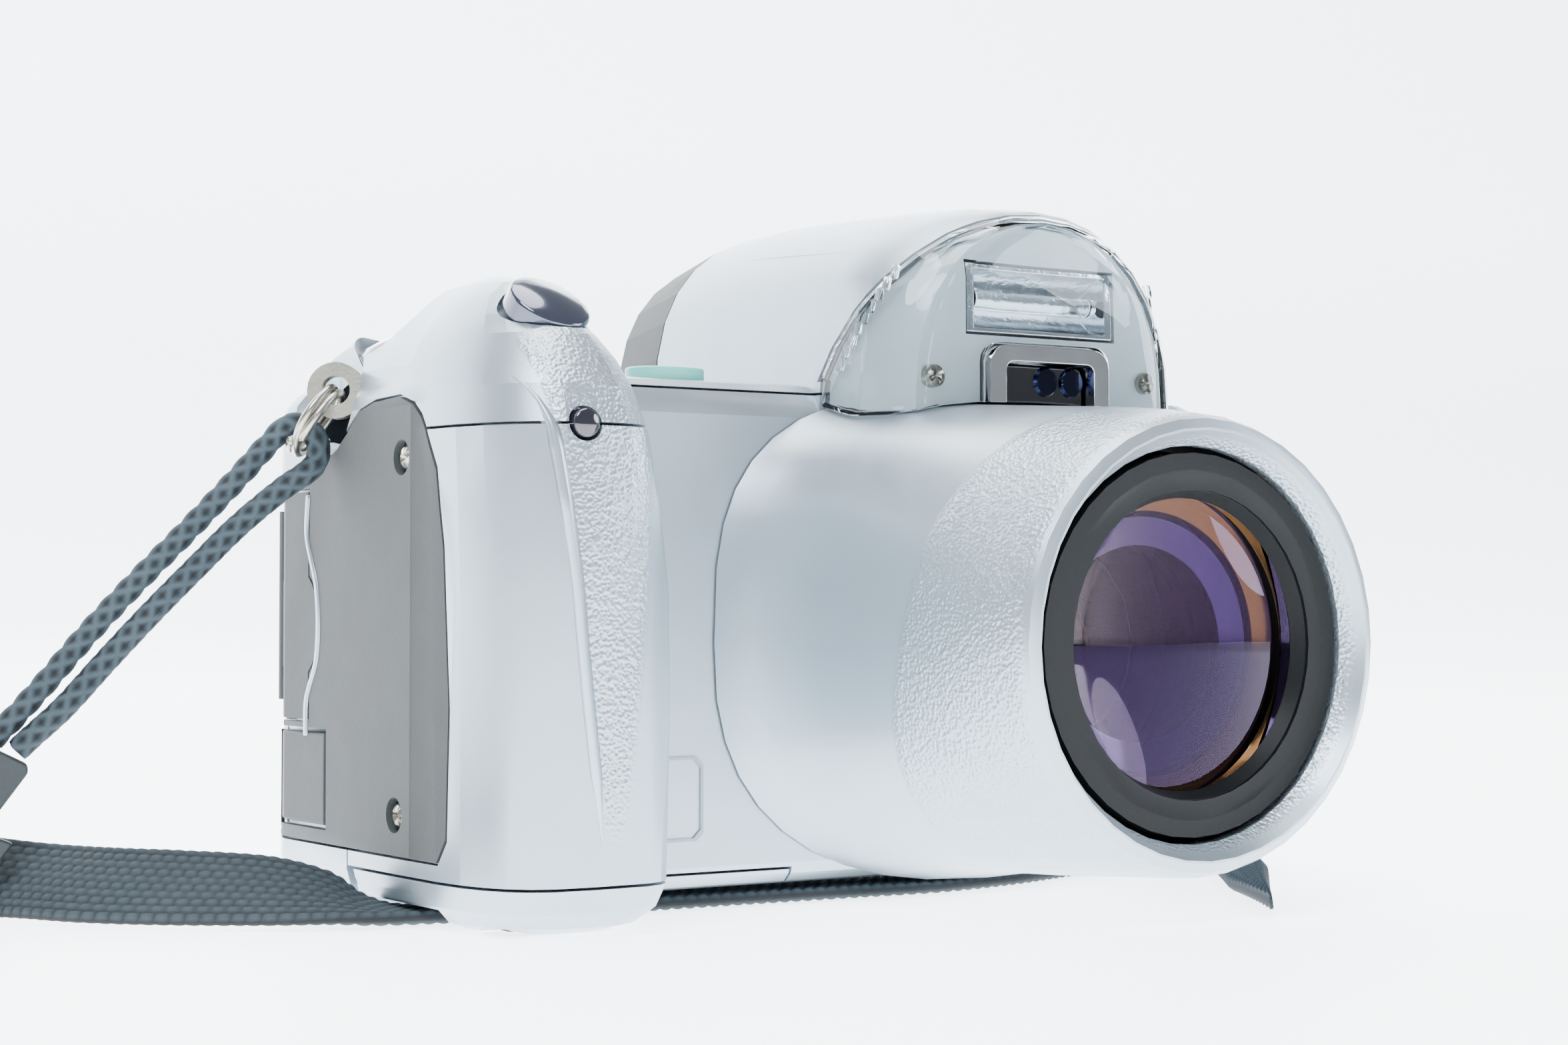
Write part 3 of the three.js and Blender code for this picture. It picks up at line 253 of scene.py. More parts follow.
web_a_route = [
    (-97.6, 31.2, 5.1, 90),
    (-99.8, 27.6, 5.1, 90),
    (-103.2, 20, 5.1, 90),
    (-105.9, 8, 5.1, 90),
    (-107.4, -4, 5.1, 90),
    (-108.5, -10.4, 5.1, 90),
    (-110.2, -14.3, 5.1, 90),
    (-113.6, -15.6, 5.1, 90),
    (-118, -15.6, 5.1, 90),
]
web_b_route = [
    (-118, 67.6, 5.1, 90),
    (-113.4, 67.6, 5.1, 90),
    (-109.8, 66.2, 5.1, 90),
    (-107.4, 61.6, 5.1, 88),
    (-104.6, 54.6, 5.1, 84),
    (-100.4, 47, 5.05, 74),
    (-95, 40.6, 4.8, 62),
    (-89.6, 35.6, 4.4, 52),
    (-84.6, 30.4, 4.05, 44),
    (-79.8, 22, 4, 43),
    (-74.3, 16.1, 3.95, 42),
    (-65.8, 10.3, 3.6, 36),
    (-60.4, 8, 2.8, 24),
    (-56.4, 6.8, 1.5, 8),
    (-52.6, 6, 0.85, 0),
    (-47, 5.3, 0.8, 0),
    (-38, 4.6, 0.8, 0),
    (-24.5, 3.8, 0.8, 0),
    (-10, 3, 0.8, 0),
    (0, 2.3, 0.8, 0),
    (10.3, 1.6, 0.8, 0),
    (22, 3.6, 0.8, 0),
    (32, 7, 0.8, 0),
    (41, 10.4, 0.8, 0),
    (49, 13, 0.8, 0),
    (57.2, 14.2, 0.8, 0),
]
hank_route = [
    (-119.4, -12.8, 5.15, 90),
    (-120.9, -10, 5.15, 90),
    (-121.1, 0, 5.15, 90),
    (-121.1, 30, 5.15, 90),
    (-121.1, 59, 5.15, 90),
    (-120.4, 63, 5.15, 90),
    (-118.9, 64.4, 5.15, 90),
    (-117.2, 63, 5.15, 90),
    (-116.4, 58, 5.15, 90),
    (-116.1, 30, 5.15, 90),
    (-116, -6, 5.15, 90),
    (-115.2, -11, 5.15, 90),
    (-113.6, -12.6, 5.15, 90),
    (-112, -11, 5.15, 90),
    (-111.2, -6, 5.15, 90),
    (-111, 30, 5.15, 90),
    (-111, 62, 5.15, 90),
]
tail_route = [
    (61.2, 8.6, 1.9, 20),
    (57.4, 2.4, 2.1, 24),
    (51.4, -6.6, 2.5, 28),
    (44.6, -16, 2.5, 28),
    (38.4, -24.6, 2.1, 24),
    (33, -32.2, 1.7, 18),
    (29, -38.2, 1.25, 8),
]
web_a, web_a_line, web_a_length = webbing(
    "strap_hank_woven", web_a_route + hank_route, WEB_WIDTH, WEB_THICKNESS, WEB_COLUMNS, WEB_PITCH
)
web_b, web_b_line, web_b_length = webbing(
    "strap_web_b_woven", web_b_route, WEB_WIDTH, WEB_THICKNESS, WEB_COLUMNS, WEB_PITCH
)
tail, tail_line, tail_length = webbing(
    "strap_tail_woven",
    tail_route,
    TAIL_WIDTH,
    TAIL_THICKNESS,
    TAIL_COLUMNS,
    WEB_PITCH,
    lambda share: np.minimum(1, (1.02 - share) * 3),
)

# ---------------------------------------------------------------- strap end loops
# Thin braided nylon cord folded through each split ring, its two legs sewn into a keeper.
# The braid shows as two crossing rows of slanted lobes.
LOOP_RADIUS, BRAID_PITCH = 1.3, 5.2


def braided(name, route, radius):
    """A round braid along points: crossing slanted lobes on a tube"""
    line, run = smooth_path(route, 0.28)
    tangent, _, _ = frames_along(line)
    start = Vector(tangent[0]).orthogonal().normalized()
    side = np.zeros_like(line)
    carry = np.array(start)
    for i in range(len(line)):
        carry = carry - tangent[i] * np.dot(carry, tangent[i])
        carry = carry / np.linalg.norm(carry)
        side[i] = carry
    up = np.cross(tangent, side)
    theta = np.linspace(0, 2 * np.pi, 28, endpoint=False)
    along = np.linspace(0, run, len(line))[:, None]
    turn = 2 * np.pi * along / BRAID_PITCH
    lobes = np.maximum(np.abs(np.sin(2 * theta + turn)), np.abs(np.sin(2 * theta - turn + 0.8)))
    reach = radius * (0.78 + 0.24 * lobes**2)
    rings = (
        line[:, None, :]
        + side[:, None, :] * (reach * np.cos(theta))[:, :, None]
        + up[:, None, :] * (reach * np.sin(theta))[:, :, None]
    )
    piece = tube_mesh(name, rings, run, braid_nylon, lobes**3)
    return piece, (line * MM)[::3].tolist(), run * MM


loop_left_route = [
    (-88.06, 31.9, 18.9),
    (-86.4, 31.2, 20.8),
    (-83.2, 30.2, 24.6),
    (-78.8, 28.9, 30.1),
    (-73.5, 27.2, 36.2),
    (-68.6, 25.8, 41.5),
    (-63.8, 24.5, 46.9),
    (-60.2, 24.1, 50.9),
    (-58.3, 23, 52.9),
    (-56.6, 21.9, 52.4),
    (-55.7, 21.3, 50.5),
    (-56.1, 21.5, 48.5),
    (-59.3, 22.8, 45.8),
    (-63.8, 24, 41.8),
    (-68, 25.1, 37.4),
    (-72.8, 26.2, 32.3),
    (-77.3, 27.4, 27.2),
    (-81.7, 28.5, 22.1),
    (-84.5, 29.6, 19.3),
    (-85.9, 30.3, 17.8),
]
loop_right_route = [
    (62.4, 14, 14.7),
    (61, 14.6, 19),
    (58.2, 16.6, 27),
    (56.4, 18.6, 35),
    (55.9, 20, 41.6),
    (55.9, 20, 43.7),
    (57.4, 20, 45.1),
    (59.5, 20, 45.2),
    (60.9, 20, 43.7),
    (62.4, 19.4, 38),
    (64.7, 17.4, 29),
    (66.2, 15.4, 20),
    (66, 14.1, 14.7),
]
loop_left, left_line, left_length = braided("strap_loop_left_braid", loop_left_route, LOOP_RADIUS)
loop_right, right_line, right_length = braided("strap_loop_right_braid", loop_right_route, LOOP_RADIUS)
left_fittings = ["keeper_left", "split_ring_left"]
right_fittings = ["keeper_right", "split_ring_right"]
strap = [
    (web_a, "strap_web_a", web_a_line, web_a_length, WEB_WIDTH, "object", []),
    (web_b, "strap_web_b", web_b_line, web_b_length, WEB_WIDTH, "object", []),
    (tail, "strap_tail", tail_line, tail_length, TAIL_WIDTH, "bare", []),
    (loop_left, "strap_loop_left", left_line, left_length, 2 * LOOP_RADIUS, "object", left_fittings),
    (loop_right, "strap_loop_right", right_line, right_length, 2 * LOOP_RADIUS, "object", right_fittings),
]
for piece, node, line, length, width, end, fittings in strap:
    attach(piece, frame["nodes"][node]["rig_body"])
    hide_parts(node)
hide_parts("strap_hank")

# ---------------------------------------------------------------- shells
# Injection-moulded ABS in three covers, sprayed with a pale silver metallic paint that reads almost white.
# Edges keep the small radius of the mould, and the seams between covers stay open lines.
SILVER, SILVER_DRIFT = "#a7b4bd", "#b1bdc6"
LACQUER = {"Coat Weight": 0.25, "Coat Roughness": 0.2}
SHARP = math.radians(30)


def finished(node, material, edge=0.2):
    """A copy of a CAD node with rounded edges and smooth faces, in its finish"""
    source = frame["nodes"][node]
    work = bmesh.new()
    work.from_mesh(source.data)
    bmesh.ops.remove_doubles(work, verts=work.verts, dist=1e-6)
    bmesh.ops.dissolve_limit(work, angle_limit=math.radians(0.8), verts=work.verts, edges=work.edges)
    bmesh.ops.recalc_face_normals(work, faces=work.faces)
    mesh = bpy.data.meshes.new(node + "_finished")
    work.to_mesh(mesh)
    work.free()
    mesh.shade_smooth()
    mesh.set_sharp_from_angle(angle=SHARP)
    mesh.materials.clear()
    mesh.materials.append(material)
    piece = bpy.data.objects.new(node + "_finished", mesh)
    bpy.context.scene.collection.objects.link(piece)
    rounding = piece.modifiers.new("rounding", "BEVEL")
    rounding.width = edge * MM
    rounding.segments = 2
    rounding.limit_method = "ANGLE"
    rounding.angle_limit = SHARP
    rounding.harden_normals = True
    rounding.use_clamp_overlap = True
    ready = piece.evaluated_get(bpy.context.evaluated_depsgraph_get())
    plain = bpy.data.meshes.new_from_object(ready)
    piece.modifiers.clear()
    piece.data = plain
    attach(piece, source["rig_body"])
    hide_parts(node)
    return piece


def grained(name, region):
    """Silver paint that is smooth, with moulded leather grain where region's formula rises above 0"""
    material = surface(name, SILVER, SILVER_DRIFT, 0.75, 0.38, 0.16, 0.006, **LACQUER)
    tree = material.node_tree
    place = add(tree, "ShaderNodeTexCoord")
    split = add(tree, "ShaderNodeSeparateXYZ", {0: place.outputs["Object"]})
    mask = region(tree, split)
    cells = add(
        tree,
        "ShaderNodeTexVoronoi",
        {"Vector": place.outputs["Object"], "Scale": 2600.0},
        feature="SMOOTH_F1",
    )
    masked = add(tree, "ShaderNodeMath", {0: cells.outputs["Distance"], 1: mask}, operation="MULTIPLY")
    smooth = next(n for n in tree.nodes if n.bl_idname == "ShaderNodeBump")
    grain = add(
        tree,
        "ShaderNodeBump",
        {"Height": masked.outputs[0], "Distance": 0.16 * MM, "Normal": smooth.outputs["Normal"]},
    )
    shader = next(n for n in tree.nodes if n.bl_idname == "ShaderNodeBsdfPrincipled")
    tree.links.new(grain.outputs["Normal"], shader.inputs["Normal"])
    return material


def leaf(tree, split):
    """The leaf on the front of the grip, right of its ridge and above its point"""
    line = add(
        tree, "ShaderNodeMath", {0: split.outputs["Z"], 1: -0.121, 2: -0.0409}, operation="MULTIPLY_ADD"
    )
    aside = add(tree, "ShaderNodeMath", {0: split.outputs["X"], 1: line.outputs[0]}, operation="SUBTRACT")
    right = add(
        tree, "ShaderNodeMapRange", {"Value": aside.outputs[0], "From Min": 0.0, "From Max": 0.0006}
    )
    low = add(
        tree,
        "ShaderNodeMapRange",
        {"Value": split.outputs["Z"], "From Min": 0.008, "From Max": 0.016},
    )
    ahead = add(
        tree,
        "ShaderNodeMapRange",
        {"Value": split.outputs["Y"], "From Min": -0.0095, "From Max": -0.012},
    )
    edge = add(
        tree, "ShaderNodeMath", {0: split.outputs["Z"], 1: 0.09, 2: -0.0399}, operation="MULTIPLY_ADD"
    )
    within = add(tree, "ShaderNodeMath", {0: edge.outputs[0], 1: split.outputs["X"]}, operation="SUBTRACT")
    left = add(
        tree, "ShaderNodeMapRange", {"Value": within.outputs[0], "From Min": 0.0, "From Max": 0.001}
    )
    sides = add(tree, "ShaderNodeMath", {0: right.outputs[0], 1: left.outputs[0]}, operation="MULTIPLY")
    both = add(tree, "ShaderNodeMath", {0: sides.outputs[0], 1: low.outputs[0]}, operation="MULTIPLY")
    whole = add(tree, "ShaderNodeMath", {0: both.outputs[0], 1: ahead.outputs[0]}, operation="MULTIPLY")
    return whole.outputs[0]


silver_paint = surface("silver sprayed abs", SILVER, SILVER_DRIFT, 0.75, 0.36, 0.14, 0.006, **LACQUER)
silver_leaf = grained("silver sprayed abs with leaf grain", leaf)
finished("front_cover", silver_leaf)
finished("rear_cover", silver_paint)
finished("top_cover", silver_leaf)
finished("battery_door", silver_paint)

# ---------------------------------------------------------------- grip ridge
# A moulded ridge that catches the light down the front of the grip, beside the grained finger rest.
# It rises from below the shutter button and ends in a point near the foot.
RIDGE_HALF, RIDGE_RISE = 1.1, 0.42
ridge_points = [
    (-49.2, 56.2),
    (-48.2, 54.4),
    (-47.4, 52.2),
    (-46.9, 49.7),
    (-46.1, 42.7),
    (-45.2, 35.7),
    (-44.5, 28.7),
    (-43.6, 20.9),
    (-42.7, 14.6),
    (-42, 9.3),
]
grip_surface = [bmesh.new(), bmesh.new()]
for part, node in zip(grip_surface, ("front_cover", "top_cover")):
    part.from_mesh(frame["nodes"][node].data)
grip_trees = [BVHTree.FromBMesh(part) for part in grip_surface]


def on_grip(x, z):
    """The front of the grip at a place seen from ahead"""
    for tree in grip_trees:
        hit = tree.ray_cast(Vector((x, -40, z)) * MM, Vector((0, 1, 0)))
        if hit[0] is not None and hit[0].y < 0:
            return hit[0] / MM
    return None


ridge_line, ridge_run = smooth_path([(x, 0, z) for x, z in ridge_points], 0.8)
ridge_rings = []
for i, (x, _, z) in enumerate(ridge_line):
    foot = on_grip(x, z)
    if foot is None:
        continue
    share = i / (len(ridge_line) - 1)
    half = RIDGE_HALF * min(1, 6 * (1 - share) + 0.1, 6 * share + 0.1)
    left, right = on_grip(x - half, z), on_grip(x + half, z)
    if left is None or right is None:
        continue
    top = Vector(foot) + Vector((-0.15, -RIDGE_RISE * half, 0))
    inside = Vector((0, 0.3, 0))
    ridge_rings.append(
        [
            Vector(left) + inside,
            top + Vector((-0.12, 0, 0)),
            top + Vector((0.12, 0.03, 0)),
            Vector(right) + inside,
        ]
    )
for part in grip_surface:
    part.free()
ridge = tube_mesh("grip_ridge", np.array(ridge_rings, float), ridge_run, silver_paint)
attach(ridge, frame["nodes"]["front_cover"]["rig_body"])

# ---------------------------------------------------------------- lens housing
# One ABS bell that flares into the body, sprayed silver; its front half has a moulded leather grain.
# The rim turns in sharply round the sliding barrel.


def bell_front(tree, split):
    """Ahead of a slanting line round the housing"""
    line = add(
        tree, "ShaderNodeMath", {0: split.outputs["Z"], 1: 0.25, 2: 0.0165}, operation="MULTIPLY_ADD"
    )
    ahead = add(tree, "ShaderNodeMath", {0: split.outputs["Y"], 1: line.outputs[0]}, operation="ADD")
    grain = add(
        tree, "ShaderNodeMapRange", {"Value": ahead.outputs[0], "From Min": 0.0, "From Max": -0.0008}
    )
    rim = add(
        tree, "ShaderNodeMapRange", {"Value": split.outputs["Y"], "From Min": -0.0412, "From Max": -0.0400}
    )
    whole = add(tree, "ShaderNodeMath", {0: grain.outputs[0], 1: rim.outputs[0]}, operation="MULTIPLY")
    return whole.outputs[0]


finished("lens_housing", grained("silver sprayed abs with bell grain", bell_front))

# ---------------------------------------------------------------- finger panel and covers
# Moulded TPE rubber in dark grey with a fine matt grain and a faint dusty sheen.
# The card door, the USB cover and the eyecup are the same rubber; a pale silver bead in the finger slot is a
# painted highlight.
rubber_panel = surface(
    "moulded grey tpe rubber", "#262b2b", "#2e3434", 0, 0.72, 0.22, 0.03, **{"Sheen Weight": 0.15}
)
finished("grip_panel", rubber_panel, edge=0.25)
finished("card_door", rubber_panel, edge=0.2)
finished("usb_cover", rubber_panel, edge=0.3)
finished("eyecup", rubber_panel, edge=0.3)

# A bead of pale silver paint round the front of the card door is a painted highlight: it stands for the glint
# along the slot's chamfered edge.
glint_bead_line, glint_bead_run = smooth_path(
    [
        (0, 27.9, 45.4),
        (0, 28.2, 41),
        (0, 27, 38.2),
        (0, 25.6, 35.4),
        (0, 25, 31),
        (0, 25.6, 26.8),
        (0, 27.4, 24),
        (0, 28.2, 22.4),
        (0, 28.3, 18.6),
    ],
    0.4,
)
panel_work = bmesh.new()
panel_work.from_mesh(frame["nodes"]["grip_panel"].data)
panel_tree = BVHTree.FromBMesh(panel_work)
glint_bead_rings = []
for x, y, z in glint_bead_line:
    hit = panel_tree.find_nearest(Vector((-54.2, y, z)) * MM)
    centre = Vector((hit[0].x / MM, y, z))
    glint_bead_rings.append(
        [
            centre + Vector((0.24 * math.cos(a), 0.5 * math.sin(a), 0))
            for a in np.linspace(0, 2 * math.pi, 10, endpoint=False)
        ]
    )
panel_work.free()
# The painted highlight: a pale silver bead along the edge of the card slot.
slot_glint_bead = tube_mesh("card_slot_liner", np.array(glint_bead_rings, float), glint_bead_run, silver_paint)
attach(slot_glint_bead, frame["nodes"]["grip_panel"]["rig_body"])

# ---------------------------------------------------------------- screws
# Small Phillips screws of nickel-plated steel: two hold the rubber panel, two hold the flash cover.
# Each sits low in its hole, with its cross recess and a worn rim.
nickel = surface("nickel plated steel", "#a9a69c", "#c0bcb0", 1, 0.3, 0.3, 0.012)


def master(name, work):
    """An object that placed copies, made from a working mesh"""
    mesh = bpy.data.meshes.new(name)
    work.to_mesh(mesh)
    work.free()
    return bpy.data.objects.new(name, mesh)


def screw_head(name, radius):
    """A domed head about +Z with a cross recess, made once and placed by the screw tree"""
    work = bmesh.new()
    ring_data = [(0.0, 0.55), (0.45, 0.52), (0.8, 0.38), (1.0, 0.12), (1.0, -0.5)]
    sides = 32
    rows = []
    for reach, height in ring_data:
        row = []
        for i in range(sides if reach else 1):
            a = 2 * math.pi * i / sides
            x, y = reach * math.cos(a), reach * math.sin(a)
            in_cross = reach < 0.7 and (abs(x) < 0.16 or abs(y) < 0.16)
            sunk = 0.4 if in_cross else 0
            row.append(work.verts.new((x * radius, y * radius, (height - sunk) * radius)))
        rows.append(row)
    for lower, upper in zip(rows, rows[1:]):
        for i in range(sides):
            j = (i + 1) % sides
            if len(lower) == 1:
                work.faces.new((lower[0], upper[i], upper[j]))
            else:
                work.faces.new((lower[i], upper[i], upper[j], lower[j]))
    work.faces.new(rows[-1][::-1])
    bmesh.ops.recalc_face_normals(work, faces=work.faces)
    return master(name, work)


def placed(name, spots, master, material, body):
    """Instances of a master on spots of (place, direction, spin), made one plain mesh by nodes"""
    tree = bpy.data.node_groups.new(name, "GeometryNodeTree")
    for label, kind, way in (
        ("Geometry", "NodeSocketGeometry", "INPUT"),
        ("Size", "NodeSocketFloat", "INPUT"),
        ("Geometry", "NodeSocketGeometry", "OUTPUT"),
    ):
        tree.interface.new_socket(label, in_out=way, socket_type=kind)
    start = tree.nodes.new("NodeGroupInput")
    turn = add(tree, "GeometryNodeInputNamedAttribute", {"Name": "turn"}, data_type="FLOAT_VECTOR")
    shape = add(tree, "GeometryNodeObjectInfo", {"Object": master})
    copies = add(
        tree,
        "GeometryNodeInstanceOnPoints",
        {
            "Points": start.outputs["Geometry"],
            "Instance": shape.outputs["Geometry"],
            "Rotation": turn.outputs[0],
            "Scale": start.outputs["Size"],
        },
    )
    solid = add(tree, "GeometryNodeRealizeInstances", {0: copies.outputs[0]})
    dressed = add(tree, "GeometryNodeSetMaterial", {"Geometry": solid.outputs[0], "Material": material})
    end = tree.nodes.new("NodeGroupOutput")
    tree.links.new(dressed.outputs[0], end.inputs[0])
    points = bpy.data.meshes.new(name)
    points.from_pydata([[c * MM for c in place] for place, _, _ in spots], [], [])
    turns = points.attributes.new("turn", "FLOAT_VECTOR", "POINT")
    for i, (_, direction, spin) in enumerate(spots):
        aim = Vector(direction).to_track_quat("Z", "Y").to_matrix() @ Matrix.Rotation(spin, 3, "Z")
        turns.data[i].vector = aim.to_euler()
    piece = bpy.data.objects.new(name, points)
    bpy.context.scene.collection.objects.link(piece)
    layout = piece.modifiers.new("layout", "NODES")
    size_socket = next(s.identifier for s in tree.interface.items_tree if s.name == "Size")
    layout.node_group = tree
    layout[size_socket] = 1.0
    ready = piece.evaluated_get(bpy.context.evaluated_depsgraph_get())
    plain = bpy.data.meshes.new_from_object(ready)
    piece.modifiers.clear()
    piece.data = plain
    plain.shade_smooth()
    plain.set_sharp_from_angle(angle=math.radians(35))
    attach(piece, body)
    return piece


root = frame["nodes"]["front_cover"]["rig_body"]
placed(
    "panel_screws",
    [((-53.1, 3.9, 48.6), (-1, 0, 0), 0.3), ((-53.1, 5.4, 11.2), (-1, 0, 0), 1.1)],
    screw_head("panel_screw", 1.35 * MM),
    nickel,
    root,
)
placed(
    "flash_screws",
    [((1.8, -13.9, 58.4), (0, -1, 0.1), 0.5), ((31.9, -13.9, 58.8), (0, -1, 0.1), 0.2)],
    screw_head("flash_screw", 1.25 * MM),
    nickel,
    root,
)

# ---------------------------------------------------------------- label frame
# A thin raised frame moulded into the front of the body beside the lens, left blank.
# It stands a fifth of a millimetre proud and is sprayed with the body.
label_work = bmesh.new()
outline = [(-34, 7.6), (-22.2, 7.6), (-21.3, 8.5), (-21.3, 15.9), (-22.2, 16.8), (-34, 16.8)]
LABEL_X, LABEL_Z, BODY_FACE_Y = -27.6, 12.2, -3
loops = []
for inset, lift in ((0, 0.25), (0, -0.22), (0.35, -0.22), (0.35, 0.25)):
    loop = []
    for x, z in outline:
        x_in, z_in = math.copysign(inset, x - LABEL_X), math.copysign(inset, z - LABEL_Z)
        loop.append(label_work.verts.new(Vector((x - x_in, BODY_FACE_Y + lift, z - z_in)) * MM))
    loops.append(loop)
for a, b in zip(loops, loops[1:] + loops[:1]):
    for i in range(len(outline)):
        j = (i + 1) % len(outline)
        label_work.faces.new((a[i], a[j], b[j], b[i]))
bmesh.ops.recalc_face_normals(label_work, faces=label_work.faces)
label_mesh = bpy.data.meshes.new("label_frame")
label_work.to_mesh(label_mesh)
label_work.free()
label_ink = surface("grey printed line", "#8d989d", "#9aa5aa", 0.2, 0.4, 0.2, 0.004)
label_mesh.materials.append(label_ink)
label_frame = bpy.data.objects.new("label_frame", label_mesh)
bpy.context.scene.collection.objects.link(label_frame)
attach(label_frame, root)

# ---------------------------------------------------------------- zoom barrel and lenses
# Satin black moulded barrel with a stepped baffle, and coated glass set deep in it.
# The front glass mirrors violet and the glass behind it amber, over a dark interior.
LENS_X, LENS_Z = 17, 29
satin_black = surface(
    "satin black polycarbonate", "#07090a", "#0c0f11", 0, 0.5, 0.2, 0.01, **{"Specular IOR Level": 0.2}
)
inner_black = surface("matt black baffle", "#050607", "#0a0b0d", 0, 0.4, 0.2, 0.01)
finished("front_barrel", satin_black, edge=0.35)


def coated_glass(name, tint, mirror, ior):
    """Clear optical glass whose reflections are tinted by its coating"""
    material = bpy.data.materials.new(name)
    material.use_nodes = True
    tree = material.node_tree
    tree.nodes.clear()
    place = add(tree, "ShaderNodeTexCoord")
    haze = add(tree, "ShaderNodeTexNoise", {"Vector": place.outputs["Object"], "Scale": 150.0, "Detail": 4.0})
    rough = add(
        tree, "ShaderNodeMapRange", {"Value": haze.outputs["Fac"], "To Min": 0.0, "To Max": 0.03}
    )
    glass = add(
        tree,
        "ShaderNodeBsdfPrincipled",
        {
            "Base Color": linear(tint),
            "Transmission Weight": 1.0,
            "Roughness": rough.outputs["Result"],
            "IOR": ior,
            "Specular Tint": linear(mirror),
        },
    )
    add(tree, "ShaderNodeOutputMaterial", {"Surface": glass.outputs[0]})
    return material


front_glass = coated_glass("coated front glass", "#e6dccf", "#c7a0ff", 1.3)
rear_glass = coated_glass("coated inner glass", "#c9a070", "#ffb566", 1.6)


def turned_piece(name, node, work, material):
    """A piece made from a turned working mesh, with its sharp edges kept, on a node's body"""
    bmesh.ops.recalc_face_normals(work, faces=work.faces)
    mesh = bpy.data.meshes.new(name)
    work.to_mesh(mesh)
    work.free()
    mesh.shade_smooth()
    mesh.set_sharp_from_angle(angle=SHARP)
    mesh.materials.append(material)
    piece = bpy.data.objects.new(name, mesh)
    bpy.context.scene.collection.objects.link(piece)
    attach(piece, frame["nodes"][node]["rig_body"])
    return piece


def lens_disc(name, node, radius, front, edge, bulge, material):
    """A lens turned about the barrel's line, with finely curved faces"""
    sides, steps = 72, 14
    section = []
    for s in range(steps + 1):
        r = radius * math.sin(0.5 * math.pi * s / steps)
        section.append((r, front - bulge * (1 - (r / radius) ** 2)))
    for s in range(steps, -1, -1):
        r = radius * math.sin(0.5 * math.pi * s / steps)
        section.append((r, front + edge + 0.8 * bulge * (1 - (r / radius) ** 2)))
    work = bmesh.new()
    made = []
    for r, y in section:
        row = []
        for i in range(sides if r > 1e-6 else 1):
            a = 2 * math.pi * i / sides
            row.append(work.verts.new(Vector((LENS_X + r * math.cos(a), y, LENS_Z + r * math.sin(a))) * MM))
        made.append(row)
    for a, b in zip(made, made[1:]):
        for i in range(sides):
            j = (i + 1) % sides
            if len(a) == 1:
                work.faces.new((a[0], b[i], b[j]))
            elif len(b) == 1:
                work.faces.new((a[i], b[0], a[j]))
            else:
                work.faces.new((a[i], b[i], b[j], a[j]))
    return turned_piece(name, node, work, material)


front_lens = lens_disc(
    "front_element_glass", "front_element", 16.1, -36.9, 3.4, 2.0, front_glass
)
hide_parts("front_element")
finished("variator_group", inner_black)
finished("rear_group", inner_black)
finished("lens_base", inner_black)
lens_disc("variator_front_glass", "variator_group", 8.8, -16.4, 0.2, 0.6, rear_glass)

# A thin turned retainer holds the front glass.
# The violet and amber rings are painted reflections: dark metallic rings that stand for the coloured circles
# the coatings mirror inside the barrel.


def turned_ring(name, section, material):
    """A ring on the front barrel, turned about the lens line from a closed outline of (radius, y)"""
    sides = 96
    work = bmesh.new()
    rows = [
        [
            work.verts.new(Vector((LENS_X + r * math.cos(a), y, LENS_Z + r * math.sin(a))) * MM)
            for r, y in section
        ]
        for a in np.linspace(0, 2 * np.pi, sides, endpoint=False)
    ]
    for i in range(sides):
        a, b = rows[i], rows[(i + 1) % sides]
        for k in range(len(section)):
            m = (k + 1) % len(section)
            work.faces.new((a[k], a[m], b[m], b[k]))
    return turned_piece(name, "front_barrel", work, material)


turned_ring(
    "front_retainer",
    [(15.5, -37.6), (16.3, -39.1), (16.75, -39.2), (16.75, -38.6), (16.05, -37.3)],
    satin_black,
)
# Painted reflections: dark violet and amber metallic rings placed where the coatings mirror coloured circles
# inside the barrel.
violet_reflection_paint = surface("painted violet reflection", "#1b1540", "#2a1f5a", 0.85, 0.12, 1.5, 0.003)
amber_reflection_paint = surface("painted amber reflection", "#3f2d18", "#5c4224", 0.85, 0.14, 1.5, 0.003)
turned_ring(
    "inner_violet_ring",
    [(9.9, -29.6), (12.9, -30.3), (12.9, -29.9), (9.9, -29.2)],
    violet_reflection_paint,
)
turned_ring(
    "inner_amber_ring",
    [(13.6, -30.9), (16.2, -31.6), (16.2, -31.2), (13.6, -30.5)],
    amber_reflection_paint,
)

# ---------------------------------------------------------------- flash
# A clear polycarbonate cover over a pale moulded housing, with a fluted aluminised reflector
# and a xenon tube. The cover is held by two screws and carries comb teeth along its rear edge.
COVER_HALF, COVER_SPRING_Z, COVER_RISE, COVER_POWER = 23.1, 56, 24, 2.4
TEETH_PER_SIDE, TOOTH_PITCH = 9, 1.25
clear_cover = coated_glass("clear polycarbonate", "#eff6f8", "#ffffff", 1.45)
pale_moulding = surface("pale grey moulded abs", "#c6d0d5", "#d2dade", 0.15, 0.35, 0.2, 0.006)
finished("flash_cover", clear_cover, edge=0.25)
finished("flash_housing", pale_moulding, edge=0.2)
mirror_foil = surface("aluminised reflector", "#c9ced4", "#dfe3e8", 1, 0.16, 0.9, 0.05)
finished("flash_reflector", mirror_foil, edge=0.15)
tube_glass = coated_glass("xenon tube glass", "#f4f8fa", "#ffffff", 1.47)
finished("xenon_tube", tube_glass, edge=0.3)

